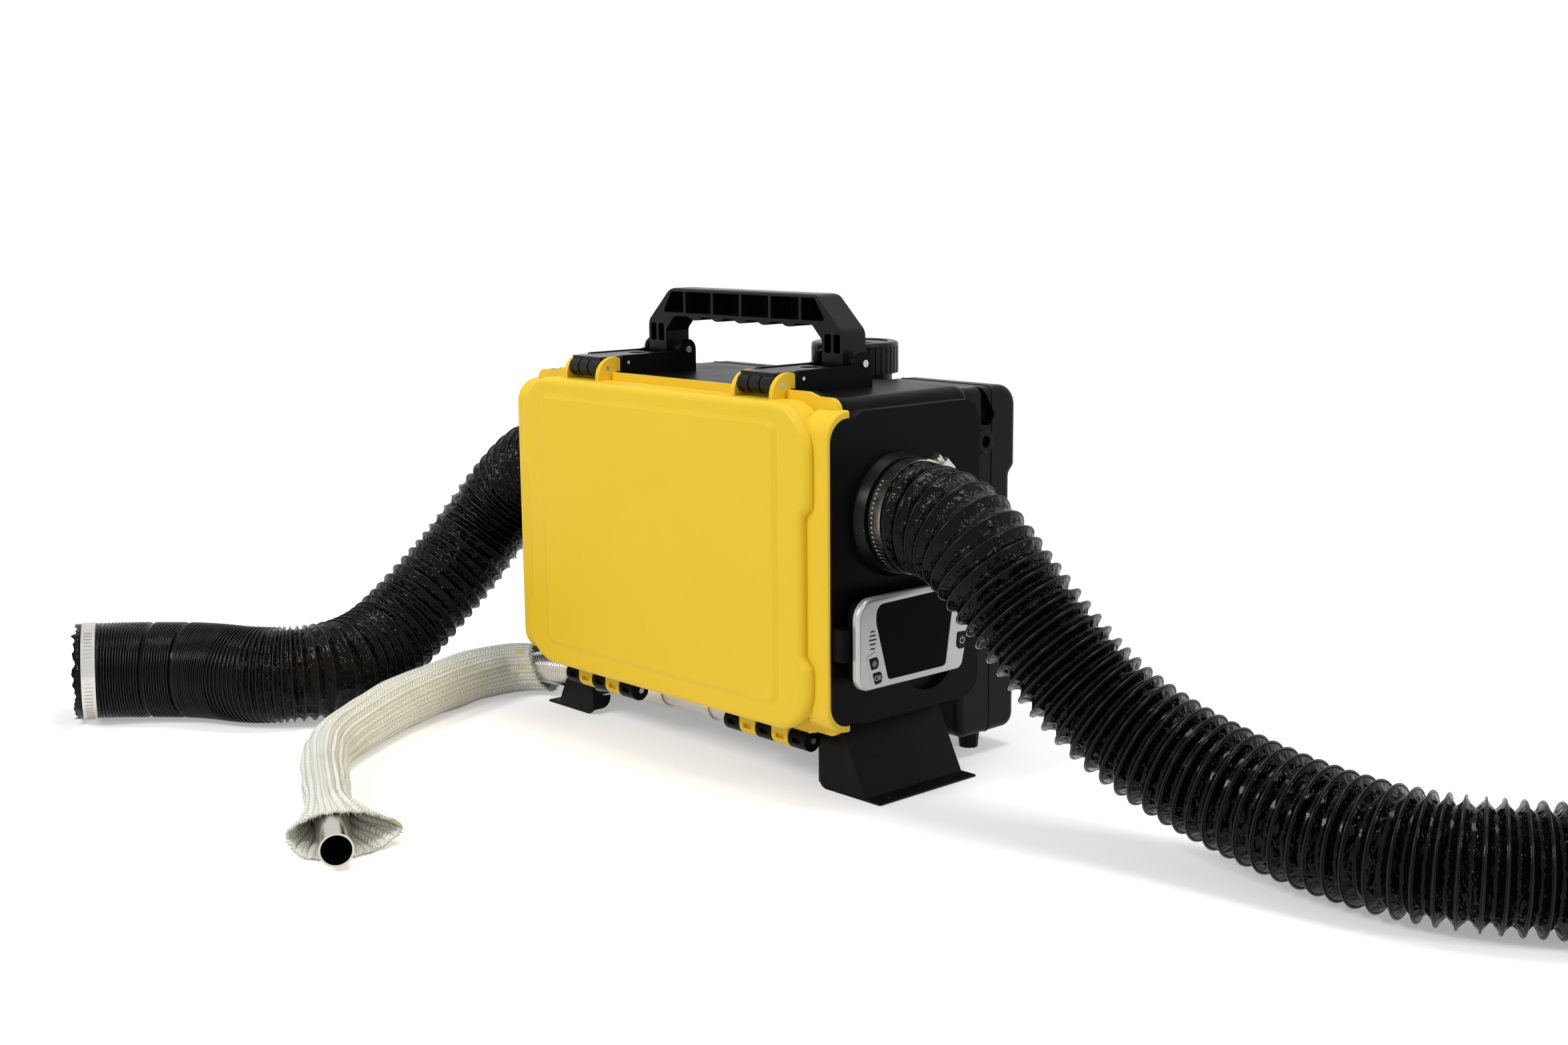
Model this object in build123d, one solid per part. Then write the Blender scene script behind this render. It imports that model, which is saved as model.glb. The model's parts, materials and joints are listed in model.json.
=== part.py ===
from build123d import *
import math
import os

# Portable diesel air heater: a hard carry case that stands on two sheet feet, with the heater
# unit inside, a blow-moulded fuel tank on its back, two ribbed air ducts and a flexible exhaust.
# Frame: X to the right, Y to the back, Z up. The origin is on the ground, under the middle of
# the object without its hoses. Millimetres.

# ---- case: driving sizes ---------------------------------------------------------------------
case_z = 57.0                 # height of the case's underside above the ground
lid_depth = 34.0              # front of the lid to the parting plane
case_depth = 182.0            # front of the lid to the back wall
tank_gap = 0.5                # between the back wall and the tank
tank_depth = 72.5
case_wall = 3.0
body_half = 190.0             # half width of the case body
body_top = 259.5              # heights of the body, above case_z
body_low = -1.0
body_corner = 14.0
back_round = 8.0              # rounding of the body's back edges
rim_half = 194.0              # half width of the rim round the parting plane
rim_low = -6.5
rim_top = 264.0
rim_step = 3.0                # the rim is this much lower beyond its middle part
rim_step_half = 160.0
rim_step_slope = 10.0
rim_thick = 5.0
rim_corner = 10.0
parting_gap = 0.4             # between lid and base
seal_inset = 1.5
seal_width = 1.8
seal_depth = 2.0
plate_half = 200.5            # outer faces of the raised side plates
plate_low = 5.5
plate_high = 251.0
plate_corner = 19.0
tongue_reach = 20.5           # how far a side plate runs forward past the parting plane
tongue_low = 7.7
tongue_high = 246.5
fit_gap = 0.4                 # clearance between neighbouring moving pieces

front_y = -(case_depth + tank_gap + tank_depth) / 2
part_y = front_y + lid_depth
back_y = front_y + case_depth
tank_y = back_y + tank_gap

# ---- lid -------------------------------------------------------------------------------------
lid_wall = 3.0
lid_half = 186.0              # half width of the raised body of the lid
lid_waist = 8.0               # how much narrower it is between the two jogs of its sides
waist_low = 62.0              # heights of the jogs, above case_z
waist_high = 172.0
lid_low = 0.0
lid_top = 257.5
lid_corner = 38.0
lid_edge = 6.0                # rounding of the lid's front edges
panel_half = 154.0            # raised panel on the front
panel_low = 18.0
panel_high = 245.0
panel_raise = 2.2
panel_slope = 5.0
panel_corner = 13.0
flange_front = 10.3           # front of the side flange behind the lid's front
flange_half = 201.0
flange_low = 2.0
flange_high = 252.6
flange_corner = 21.0
ear_thick = 4.8
ear_front = 15.3
ear_back = 4.8                # how far the ears reach back past the parting plane
ear_top = 277.0
ear_round = 17.0

# ---- hinges and latches: one set left, one right -----------------------------------------------
set_x = 110.8                 # middle of each latch and its bracket
channel_half = 20.2           # half the clear width between two ears
hinge_x = 109.6               # middle of each hinge
knuckle_pitch = 19.52
knuckle_count = 5
knuckle_gap = 0.4
knuckle_r = 9.0
hinge_drop = 14.0             # hinge axis below case_z
hinge_pin_r = 2.5
hinge_pin_end = 1.5           # how far the pin shows at each end
pin_fit = 0.15
latch_back = 25.5             # latch pivot behind the lid's front, and above case_z
latch_high = 267.5
barrel_r = 8.0
barrel_rib = 0.8              # depth of the grooves between the barrel's ribs
latch_pin_r = 2.0
lever_low = 6.0               # underside of the lever above the latch pivot
lever_thick = 3.6
lever_length = 64.5
lever_hole_r = 8.0
hook_back = 22.5              # catch pin behind and above the latch pivot
hook_up = 4.0
catch_pin_r = 1.5
hook_thick = 3.4
bracket_gap = 0.7             # between the ears and the bracket walls
bracket_wall = 4.0
bracket_top = 278.0

# ---- handle ----------------------------------------------------------------------------------
handle_back = 115.0           # middle of the grip behind the lid's front
handle_pivot = 279.0          # heights above case_z
handle_top = 333.5
handle_shoulder = 304.0
handle_bar = 24.5
handle_half = 124.0
handle_leg = 24.0
handle_top_half = 93.0
handle_depth = 26.0
handle_skin = 3.0
handle_rib_x = (-74.0, -37.0, 0.0, 37.0, 74.0)
handle_pin_r = 3.0
lug_r = 9.0

# ---- air ducts -------------------------------------------------------------------------------
duct_back = 84.0
duct_high = 168.0
duct_bore_r = 41.3
duct_valley_r = 42.0
duct_crest_r = 43.5
duct_rib = 4.0                # length of a rib along the duct
duct_pitch = 12.0             # ribs where the film is drawn out
duct_packed = 150.0           # length of the return duct that is pushed together
duct_packed_pitch = 3.4
duct_start = 213.0            # the ducts' first ends, from the middle plane
spigot_r = 41.0
spigot_wall = 2.5
spigot_end = 233.0
collar_plate_r = 49.0
collar_tip_r = 46.0
collar_length = 11.5
clamp_x = 221.0
clamp_width = 12.0
clamp_thick = 0.8
clamp_gap = 0.2
clamp_lean = 48.0             # direction of the worm housing on the collars
clamp_end = 9.0               # the free clamp's distance from the duct's end
clamp_end_lean = 202.0        # the free clamp has its housing on the side away from the lid
clamp_slots = 28
clamp_slot_from = 88.0
clamp_slot_step = 4.9
clamp_slot_width = 1.4
clamp_slot_length = 7.0
worm_r = 3.0
worm_length = 15.0
worm_head_r = 4.0
worm_head = 5.0
housing_width = 13.5
housing_length = 12.0
housing_height = 9.0

# ---- exhaust ---------------------------------------------------------------------------------
exhaust_back = 68.0
exhaust_drop = 20.0           # axis below case_z
exhaust_r = 12.5
exhaust_wall = 1.5
exhaust_down_x = 92.0         # where the exhaust comes down through the floor
exhaust_bend = 18.0
exhaust_top = 133.0           # top of the exhaust's upright, above case_z
strap_x = 2.0                 # strap that carries the exhaust
strap_width = 8.0
strap_thick = 1.4
flex_start = -58.0
flex_lap = 20.0               # how far pipe ends reach into the flex
flex_bore_r = 12.7
flex_valley_r = 13.6
flex_crest_r = 15.4
flex_pitch = 5.4
sleeve_bore_r = 16.0
sleeve_start = 200.0          # where the sleeve starts along the flex
sleeve_end_gap = 2.0
sleeve_steps = 64
sleeve_radii = (20.0, 23.8, 23.8, 23.5, 23.0, 22.0, 20.0, 18.0, 17.2, 17.0, 16.6)
tail_r = 12.6
tail_length = 106.0
tail_bead_r = 14.2            # bead that stops the pipe at the flex's end
tail_bead = 2.0
tail_bead_gap = 0.3

# ---- feet ------------------------------------------------------------------------------------
foot_sheet = 2.0
foot_back = 48.5              # front of a foot behind the lid's front
foot_side_length = 111.0
foot_inner = 150.0
foot_bend_top = 176.0
foot_slope = 0.507            # sideways per height
foot_flange = 219.5
foot_round = 9.0
foot_lip = 20.0
foot_screw_back = (34.0, 92.0)
foot_screw_in = 12.0
foot_hole_back = (17.3, 93.2)
foot_hole_inset = 7.5
foot_hole_r = 3.2
foot_port_gap = 3.0

# ---- fuel tank -------------------------------------------------------------------------------
tank_half = 179.0
tank_low = -40.0
tank_high = 256.0
tank_wall = 3.0
tank_round = 12.0
tank_shoulder = 18.0
tank_waist = 8.5              # how far the middle of the back is set in
tank_chin = 2.0               # the top of the back is set in by this
tank_waist_low = 4.0
tank_waist_high = 187.0
tank_edge = 7.0
saddle_depth = 9.0            # recess of each side of the tank
saddle_back = 24.5
saddle_wide = 17.5
saddle_low = 224.0
boss_r = 10.0
boss_raise = 4.0
boss_back = 27.0
boss_high = 211.0
peg_x = 155.0
peg_back = 40.0
peg_r = 10.0
peg_tip_r = 8.0
neck_x = 20.0
neck_back = 36.5
neck_r = 33.0
neck_bore_r = 29.0
neck_seat = 246.0             # height of the lowered top round the neck
neck_seat_half = 46.0
neck_top = 276.0
cap_r = 38.5
cap_low = 258.5
cap_high = 286.0
cap_dome = 3.0
cap_ribs = 40
gasket_thick = 2.0
stud_r = 3.0
stud_x = (-150.0, 150.0)
stud_high = (20.0, 225.0)
stud_boss_r = 8.0
stud_grip = 12.0

# ---- controller ------------------------------------------------------------------------------
panel_back = 83.5             # middle of the controller behind the lid's front
panel_high_z = 74.0
bezel_w = 121.0
bezel_h = 72.0
bezel_corner = 15.0
bezel_face_points = ((-60.5, 36.0), (-60.5, -36.0), (57.0, -36.0), (65.0, -2.0), (63.0, 36.0))
bezel_face_radii = (16.0, 12.0, 7.0, 20.0, 14.0)
bezel_round = 3.0
bezel_x = 215.0               # back of the bezel, from the middle plane
bezel_face = 221.0
shell_x = 206.5
shell_inset = 3.0
cradle_w = 108.0
cradle_h = 60.0
clip_back = (14.5, 24.0)
clip_high = (62.0, 87.0)
clip_reach = 213.0
screen_inset = 0.8
screen_points = ((-41.5, 17.0), (-28.0, -30.3), (37.2, -30.3), (47.5, 32.0), (-40.5, 30.5))
screen_radii = (20.0, 4.0, 4.0, 9.0, 8.0)
vent_rows = ((10.4, 5.1), (7.2, 6.9), (3.9, 8.6), (0.5, 7.0), (-3.1, 5.3))  # height, length
vent_y = -45.0                # from the middle of the face
vent_width = 1.2
pad_points = ((-51.5, -8.8), (-41.5, -5.4), (-35.8, -28.0), (-33.2, -33.0), (-46.0, -33.0))
pad_raise = 0.4               # raised pad round the two small buttons
small_button = ((-5.6, 4.0), (-2.8, -4.5), (4.8, -4.0), (4.2, 4.6))
small_button_radii = (1.0, 1.0, 3.5, 3.5)
power_button = ((-4.2, 7.2), (6.0, 6.5), (4.0, -6.5), (-5.5, -6.2))
power_button_radii = (1.5, 1.5, 2.0, 4.5)
button_proud = 1.0
button_gap = 0.35
button_depth = 5.0
port_r = 33.5                 # round hollow in the side plate behind the controller
port_back = 123.0
port_high = 53.7
port_depth = 6.0
grommet_r = 9.0
grommet_bore_r = 4.0

# ---- heater unit inside ----------------------------------------------------------------------
shell_r = 50.0
shell_wall = 2.5
shell_left = -176.0
shell_right = 176.0
shell_seam = 0.3
cone_length = 16.0
exchanger_left = 10.0
exchanger_right = 150.0
exchanger_r = 33.0
fin_r = 46.0
fin_count = 16
fin_thick = 3.0
burner_r = 20.0
motor_r = 24.0
motor_left = -118.0
motor_right = -62.0
shaft_r = 3.0
fan_r = 44.0
fan_left = -146.0
fan_right = -126.0
fan_blades = 9
rotor_r = 36.0
rotor_left = -54.0
rotor_right = -40.0
stand_wall = 2.0
stand_half = 42.0
stand_x = (-92.0, 62.0)
stub_r = 15.0
stub_lap = 10.0
glow_x = -22.0
glow_r = 3.5
fuel_in_x = -10.0
pump_r = 13.0
pump_y = -65.0
pump_length = 55.0
intake_x = -22.0
intake_r = 11.0
intake_wall = 1.5
fuel_x = -125.0
fuel_high = 22.0
fuel_r = 3.0


def box(x0, x1, y0, y1, z0, z1):
    """Block between two corners."""
    middle = Pos((x0 + x1) / 2, (y0 + y1) / 2, (z0 + z1) / 2)
    return middle * Box(x1 - x0, y1 - y0, z1 - z0)


def across(x):
    """Plane that looks along X: its own x is Y and its own y is Z."""
    return Plane((x, 0, 0), x_dir=(0, 1, 0), z_dir=(1, 0, 0))


def upright(y):
    """Plane that looks along -Y: its own x is X and its own y is Z."""
    return Plane((0, y, 0), x_dir=(1, 0, 0), z_dir=(0, -1, 0))


def bar_x(face, x0, x1):
    """Extrudes a (y, z) outline from x0 to x1."""
    return extrude(across(x0) * face, x1 - x0)


def bar_y(face, y0, y1):
    """Extrudes an (x, z) outline from y0 to y1."""
    return extrude(upright(y1) * face, y1 - y0)


def bar_z(face, z0, z1):
    """Extrudes an (x, y) outline from z0 to z1."""
    return extrude(Plane.XY.offset(z0) * face, z1 - z0)


def rod(axis, a, b, r, u0, u1):
    """Cylinder along X, Y or Z at (a, b) of the other two axes, from u0 to u1."""
    circle = Pos(a, b) * Circle(r)
    return {"x": bar_x, "y": bar_y, "z": bar_z}[axis](circle, u0, u1)


def outline(points, radii):
    """Closed outline with a radius at each of its corners."""
    if isinstance(radii, (int, float)):
        radii = [radii] * len(points)
    return make_face(FilletPolyline(*points, radius=radii, close=True))


def both_ways(points, radii):
    """Outline from its right half, mirrored to the left."""
    left = [(-u, v) for u, v in reversed(points)]
    return outline(list(points) + left, list(radii) + list(reversed(radii)))


def rounded(u0, u1, v0, v1, r):
    """Rounded rectangle between two corners."""
    return Pos((u0 + u1) / 2, (v0 + v1) / 2) * RectangleRounded(u1 - u0, v1 - v0, r)


def flip(shape):
    """The same on the left."""
    return mirror(shape, about=Plane.YZ)


def pair(shape):
    """A piece and its mirror image."""
    return shape + flip(shape)


def turned(points, y, z):
    """Body of revolution round the line along X at (y, z), from (x, radius) points."""
    frame = Plane((0, y, z), x_dir=(1, 0, 0), z_dir=(0, -1, 0))
    profile = make_face(Polyline(*points, close=True))
    return revolve(frame * profile, Axis((0, y, z), (1, 0, 0)))


def up(height):
    """Height of something given above the case's underside."""
    return case_z + height


def back(distance):
    """Place of something given behind the lid's front."""
    return front_y + distance


# ---- places that several pieces share -----------------------------------------------------------
hinge_z = up(-hinge_drop)
latch_y = back(latch_back)
latch_z = up(latch_high)
catch_y = latch_y + hook_back
catch_z = latch_z + hook_up
handle_y = back(handle_back)
handle_z = up(handle_pivot)
duct_y = back(duct_back)
duct_z = up(duct_high)
exhaust_y = back(exhaust_back)
exhaust_z = up(-exhaust_drop)
foot_y = back(foot_back)
panel_y = back(panel_back)
panel_z = up(panel_high_z)
port_y = back(port_back)
port_z = up(port_high)
floor_z = up(body_low) + case_wall
fuel_z = up(fuel_high)
ear_half = channel_half + ear_thick
bracket_half = ear_half - bracket_wall + 0.2
bracket_out = bracket_half + bracket_wall
rest_gap = 0.05               # round pins in holes of their own body
screw_r = 2.5
screw_head_r = 5.0
screw_head = 3.0
screw_bite = 10.0
screw_boss_r = 6.5
tongue_thick = 6.0
collar_foot = 8.0


def rim_face():
    """Front view of the rim, which steps in beyond its middle part."""
    low = up(rim_low)
    high = up(rim_top)
    slope = rim_step_half + rim_step_slope
    half = [(rim_step_half, low), (slope, low + rim_step), (rim_half, low + rim_step),
            (rim_half, high - rim_step), (slope, high - rim_step), (rim_step_half, high)]
    return both_ways(half, [0, 0, rim_corner, rim_corner, 0, 0])


def inner_face(wall):
    """Front view of the case's inside."""
    half = body_half - wall
    return rounded(-half, half, up(body_low) + wall, up(body_top) - wall, body_corner - wall)


def seal_face():
    """Front view of the seal's groove round the mouth."""
    wall = case_wall - seal_inset
    return inner_face(wall - seal_width) - inner_face(wall)


def knuckle_span(index):
    """Ends of one hinge knuckle along X on the right."""
    start = hinge_x + (index - knuckle_count / 2) * knuckle_pitch
    return start + knuckle_gap / 2, start + knuckle_pitch - knuckle_gap / 2


def knuckles(of_lid):
    """Right-hand hinge knuckles with their webs: the odd ones are the lid's."""
    shape = None
    slot_half = knuckle_pitch / 4
    for index in range(1 if of_lid else 0, knuckle_count, 2):
        x0, x1 = knuckle_span(index)
        middle = (x0 + x1) / 2
        roll = rod("x", part_y, hinge_z, knuckle_r, x0, x1)
        if of_lid:
            web = box(x0, x1, part_y - knuckle_r, part_y - parting_gap, hinge_z, up(lid_low) + 1)
        else:
            web = box(x0, x1, part_y, part_y + knuckle_r, hinge_z, up(body_low) + 1)
        slot_y = part_y - knuckle_r - 1
        slot = box(middle - slot_half, middle + slot_half, slot_y, slot_y + 4, hinge_z - 2, hinge_z + 2)
        shape = roll + web - slot if shape is None else shape + (roll + web - slot)
    return shape


def knuckle_room(of_lid):
    """Room in one half's rim for the other half's right-hand knuckles."""
    room = None
    for index in range(0 if of_lid else 1, knuckle_count, 2):
        x0, x1 = knuckle_span(index)
        roll = rod("x", part_y, hinge_z, knuckle_r + fit_gap, x0 - knuckle_gap, x1 + knuckle_gap)
        room = roll if room is None else room + roll
    return room


def pin_bore():
    """Bore of the right-hand hinge."""
    reach = knuckle_count * knuckle_pitch / 2 + 1
    return rod("x", part_y, hinge_z, hinge_pin_r + pin_fit, hinge_x - reach, hinge_x + reach)


def side_plate():
    """Raised right-hand side of the base with the tongue that reaches into the lid."""
    plate = bar_x(rounded(part_y, back_y, up(plate_low), up(plate_high), plate_corner),
                  body_half - 1, plate_half)
    square = box(body_half - 1, plate_half, part_y, part_y + plate_corner,
                 up(tongue_low), up(tongue_high))
    front = part_y - tongue_reach
    tongue = rounded(front, front + 3 * plate_corner, up(tongue_low), up(tongue_high),
                     plate_corner - 1)
    blade = bar_x(tongue, plate_half - tongue_thick, plate_half)
    blade &= box(0, plate_half, front, part_y + 1, up(plate_low), up(plate_high))
    return plate + square + blade


def plate_hollow():
    """Inside of the raised right-hand side."""
    low = up(tongue_low) + case_wall
    high = up(tongue_high) - case_wall
    room = bar_x(rounded(part_y + rim_thick, back_y - case_wall, low, high, plate_corner - case_wall),
                 body_half - case_wall - 1, plate_half - case_wall)
    return room


def bracket():
    """Right-hand pair of walls that holds the catch pin and the handle's pivot."""
    start = part_y + ear_back + bracket_gap
    low = up(body_top) - 2
    top = up(bracket_top)
    lug = handle_z
    wall = outline([(start, low), (start, top), (handle_y - 1.6 * lug_r, top), (handle_y - lug_r, lug),
                    (handle_y + lug_r, lug), (handle_y + lug_r, low)], [0, 5, 0, 0, 0, 0])
    wall = wall + Pos(handle_y, lug) * Circle(lug_r)
    wall -= Pos(handle_y, lug) * Circle(handle_pin_r + rest_gap)
    wall -= Pos(catch_y, catch_z) * Circle(catch_pin_r + rest_gap)
    left = bar_x(wall, set_x - bracket_out, set_x - bracket_half)
    right = bar_x(wall, set_x + bracket_half, set_x + bracket_out)
    return left + right


def foot_screw_places():
    """Places of the right-hand foot's screws into the floor."""
    return [(foot_inner + foot_screw_in, foot_y + along) for along in foot_screw_back]


def stud_places():
    """Places of the studs that hold the tank to the back wall."""
    return [(x, up(height)) for x in stud_x for height in stud_high]


def make_case_base():
    """The black tub of the case."""
    body = bar_y(rounded(-body_half, body_half, up(body_low), up(body_top), body_corner), part_y, back_y)
    body = fillet(body.faces().sort_by(Axis.Y)[-1].edges(), back_round)
    body += bar_y(rim_face(), part_y, part_y + rim_thick)
    body += pair(side_plate()) + pair(bracket()) + pair(knuckles(of_lid=False))
    body -= bar_y(inner_face(case_wall), part_y - 1, back_y - case_wall)
    body -= plate_hollow() - rod("x", port_y, port_z, port_r + case_wall, 0, plate_half)
    body -= flip(plate_hollow())
    body -= pair(knuckle_room(of_lid=False)) + pair(pin_bore())
    body -= bar_y(seal_face(), part_y - 1, part_y + seal_depth)
    body -= rod("x", port_y, port_z, port_r, plate_half - port_depth, plate_half + 1)
    body -= rod("x", port_y, port_z, grommet_r, 0, plate_half)
    body -= pair(rod("x", duct_y, duct_z, spigot_r + rest_gap, 0, plate_half + 1))
    body -= rod("z", exhaust_down_x, exhaust_y, exhaust_r + fit_gap, up(body_low) - 1, floor_z + 1)
    body -= rod("z", intake_x, duct_y, intake_r + rest_gap, up(body_low) - 1, floor_z + 1)
    body -= rod("y", fuel_x, fuel_z, fuel_r + rest_gap, back_y - case_wall - 1, back_y + 1)
    for x, y in foot_screw_places():
        body += pair(rod("z", x, y, screw_boss_r, floor_z - 1, up(body_low) + screw_bite + 1))
        body -= pair(rod("z", x, y, screw_r + rest_gap, up(body_low) - 1, up(body_low) + screw_bite))
    for x, z in stud_places():
        body -= rod("y", x, z, stud_r + rest_gap, back_y - case_wall - 1, back_y + 1)
    return body


def lid_face(half_cut, low_cut, waist):
    """Front view of the lid's body, cut back by the given walls."""
    half = lid_half - half_cut
    low = up(lid_low) + low_cut
    high = up(lid_top) - low_cut
    corner = lid_corner - half_cut
    if not waist:
        return rounded(-half, half, low, high, corner)
    slim = half - lid_waist
    jog = lid_waist
    points = [(half, low), (half, up(waist_low) - jog), (slim, up(waist_low)),
              (slim, up(waist_high)), (half, up(waist_high) + jog), (half, high)]
    return both_ways(points, [corner, 7, 7, 7, 7, corner])


def make_lid_cover():
    """The yellow lid."""
    face_y = front_y + panel_raise
    rim_y = part_y - rim_thick
    rear_y = part_y - parting_gap
    body = bar_y(lid_face(0, 0, waist=True), face_y, rim_y + 1)
    body = fillet(body.faces().sort_by(Axis.Y)[0].edges(), lid_edge)
    body += bar_y(rim_face(), rim_y, rear_y)
    body += raised_panel()
    body += pair(lid_flange()) + pair(lid_ears())
    body -= bar_y(lid_face(lid_wall, lid_wall, waist=True), face_y + lid_wall, part_y)
    body -= lid_hollow()
    body += pair(knuckles(of_lid=True))
    body -= pair(knuckle_room(of_lid=True)) + pair(pin_bore()) + pair(barrel_room())
    return body


def raised_panel():
    """Raised middle of the lid's front, with sloping edges."""
    low = up(panel_low)
    high = up(panel_high)
    slope = panel_slope
    foot = rounded(-panel_half, panel_half, low, high, panel_corner)
    crown = rounded(-panel_half + slope, panel_half - slope, low + slope, high - slope,
                    panel_corner - slope)
    front = Plane((0, front_y, 0), x_dir=(1, 0, 0), z_dir=(0, -1, 0))
    rear = Plane((0, front_y + panel_raise, 0), x_dir=(1, 0, 0), z_dir=(0, -1, 0))
    return loft([rear * foot, front * crown], ruled=True)


def lid_flange():
    """Right-hand flange of the lid, with the notch for the base's tongue."""
    start = front_y + flange_front
    rear = part_y - parting_gap
    skirt = rounded(start, start + 4 * flange_corner, up(flange_low), up(flange_high), flange_corner)
    shape = bar_x(skirt, lid_half - lid_waist - lid_wall, flange_half)
    shape &= box(0, flange_half, start, rear, up(flange_low), up(flange_high))
    shape = fillet(shape.edges().filter_by(lambda e: e.center().X > flange_half - 0.01
                                           and e.center().Y < rear - 1), 2.0)
    front = part_y - tongue_reach - fit_gap
    notch = rounded(front, front + 4 * plate_corner, up(tongue_low) - fit_gap,
                    up(tongue_high) + fit_gap, plate_corner - 1 + fit_gap)
    return shape - bar_x(notch, plate_half - tongue_thick - fit_gap, flange_half + 1)


def lid_hollow():
    """Inside of the lid behind its side flanges."""
    half = plate_half - tongue_thick - fit_gap - lid_wall
    start = front_y + flange_front + lid_wall
    side = rounded(-half, half, up(tongue_low) + lid_wall, up(tongue_high) - lid_wall, flange_corner)
    return bar_y(side, start, part_y) + bar_y(inner_face(case_wall), part_y - rim_thick + 1, part_y)


def lid_ears():
    """Right-hand pair of ears that hold a latch."""
    start = back(ear_front)
    rear = part_y + ear_back
    low = up(lid_top) - 2
    top = up(ear_top)
    ledge = up(rim_top) + fit_gap + 0.1
    face = outline([(start, low), (start, top), (rear, top), (rear, ledge),
                    (part_y - parting_gap, ledge), (part_y - parting_gap, low)],
                   [0, ear_round, 3, 0, 0, 0])
    face -= Pos(latch_y, latch_z) * Circle(latch_pin_r + rest_gap)
    left = bar_x(face, set_x - ear_half, set_x - channel_half)
    right = bar_x(face, set_x + channel_half, set_x + ear_half)
    return left + right


def barrel_room():
    """Room in the lid's rim for the right-hand latch's barrel."""
    half = channel_half
    return rod("x", latch_y, latch_z, barrel_r + fit_gap, set_x - half, set_x + half)


def make_lid_seal():
    """Soft seal in the groove of the base's rim."""
    return bar_y(seal_face(), part_y, part_y + seal_depth)


def make_hinge_pin():
    """Right-hand hinge pin."""
    reach = knuckle_count * knuckle_pitch / 2 + hinge_pin_end
    return rod("x", part_y, hinge_z, hinge_pin_r, hinge_x - reach, hinge_x + reach)


def make_latch():
    """Right-hand latch: barrel, lever with a finger hollow, and the hook behind the catch pin."""
    half = channel_half - fit_gap
    left = set_x - half
    right = set_x + half
    shape = rod("x", latch_y, latch_z, barrel_r, left, right)
    for side in (-1, 1):
        middle = set_x + side * half / 3
        ring = rod("x", latch_y, latch_z, barrel_r + 1, middle - 1, middle + 1)
        shape -= ring - rod("x", latch_y, latch_z, barrel_r - barrel_rib, left, right)
    low = latch_z + lever_low
    lever = bar_z(rounded(left, right, latch_y - 8, latch_y + lever_length, 6), low, low + lever_thick)
    lever &= box(left, right, latch_y - barrel_r / 2, latch_y + lever_length, low, low + lever_thick)
    dip_y = latch_y + lever_length - lever_hole_r - 4
    lever -= rod("z", set_x, dip_y, lever_hole_r, low + lever_thick / 2, low + lever_thick + 1)
    reach = math.hypot(hook_back, hook_up) + catch_pin_r + 0.3
    hook = Pos(latch_y, latch_z) * (Circle(reach + hook_thick) - Circle(reach))
    hook &= Pos(latch_y + reach, latch_z + lever_low / 4) * Rectangle(2 * hook_thick + 2, lever_low * 1.5)
    return shape + lever + bar_x(hook, left + 6, right - 6) - latch_bore()


def latch_bore():
    """Bore of the right-hand latch."""
    return rod("x", latch_y, latch_z, latch_pin_r + pin_fit, 0, body_half)


def make_latch_pin():
    """Right-hand latch pivot."""
    return rod("x", latch_y, latch_z, latch_pin_r, set_x - ear_half, set_x + ear_half)


def make_catch_pin():
    """Right-hand pin that the latch hooks behind."""
    return rod("x", catch_y, catch_z, catch_pin_r, set_x - bracket_out, set_x + bracket_out)


def handle_face():
    """Front view of the handle."""
    top = up(handle_top)
    shoulder = up(handle_shoulder)
    under = top - handle_bar
    foot = handle_z - handle_depth / 2
    inner = handle_half - handle_leg
    slope = inner - 12
    points = [(slope, under), (inner, under - 12), (inner, foot), (handle_half, foot),
              (handle_half, shoulder), (handle_top_half, top)]
    left = [(-x, z) for x, z in reversed(points)]
    radii = [6, 6, 0, 0, 10, 10]
    return outline(points + left, radii + radii[::-1])


def make_handle():
    """Carry handle: a hollow bow, open to the front between its ribs."""
    half = handle_depth / 2
    rear = handle_y + half - handle_skin
    bow = bar_y(handle_face(), handle_y - half, handle_y + half)
    side = rounded(handle_y - half, handle_y + half, handle_z, up(handle_top), 4)
    side += Pos(handle_y, handle_z) * Circle(half) + Pos(handle_y, handle_z + half) * Rectangle(
        handle_depth, handle_depth)
    bow &= bar_x(side, -handle_half, handle_half)
    under = up(handle_top) - handle_bar
    for x in (-60, -30, 0, 30, 60):
        bump = rod("y", x, under + 11, 14, handle_y - half, handle_y + half)
        bow += bump & box(x - 20, x + 20, handle_y - half, handle_y + half, under - 5, under + 1)
    bow -= grip_pockets(handle_y - half - 1, rear) + pair(leg_slots(handle_y - half - 1, rear))
    return bow - pair(rod("x", handle_y, handle_z, handle_pin_r + pin_fit, 0, body_half))


def grip_pockets(front, rear):
    """Hollows of the grip between its ribs."""
    skin = handle_skin
    low = up(handle_top) - handle_bar + skin
    high = up(handle_top) - skin
    end = handle_half - handle_leg + 4
    whole = bar_y(both_ways([(end, low), (handle_top_half - skin / 2, high)], [2, 2]), front, rear)
    for x in handle_rib_x:
        whole -= box(x - skin / 2, x + skin / 2, front, rear, low, high)
    return whole


def leg_slots(front, rear):
    """Two upright hollows in the right leg."""
    width = (handle_leg - 3 * handle_skin) / 2
    low = handle_z + 2.5 * handle_pin_r
    high = up(handle_shoulder)
    outer = handle_half - handle_skin
    first = rounded(outer - width, outer, low, high - 2, 2)
    inner = outer - width - handle_skin
    second = rounded(inner - width, inner, low, high - 2, 2)
    return bar_y(first, front, rear) + bar_y(second, front, rear)


def make_handle_pin():
    """Right-hand pivot of the handle."""
    reach = bracket_out + 1.5
    return rod("x", handle_y, handle_z, handle_pin_r, set_x - reach, set_x + reach)


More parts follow.
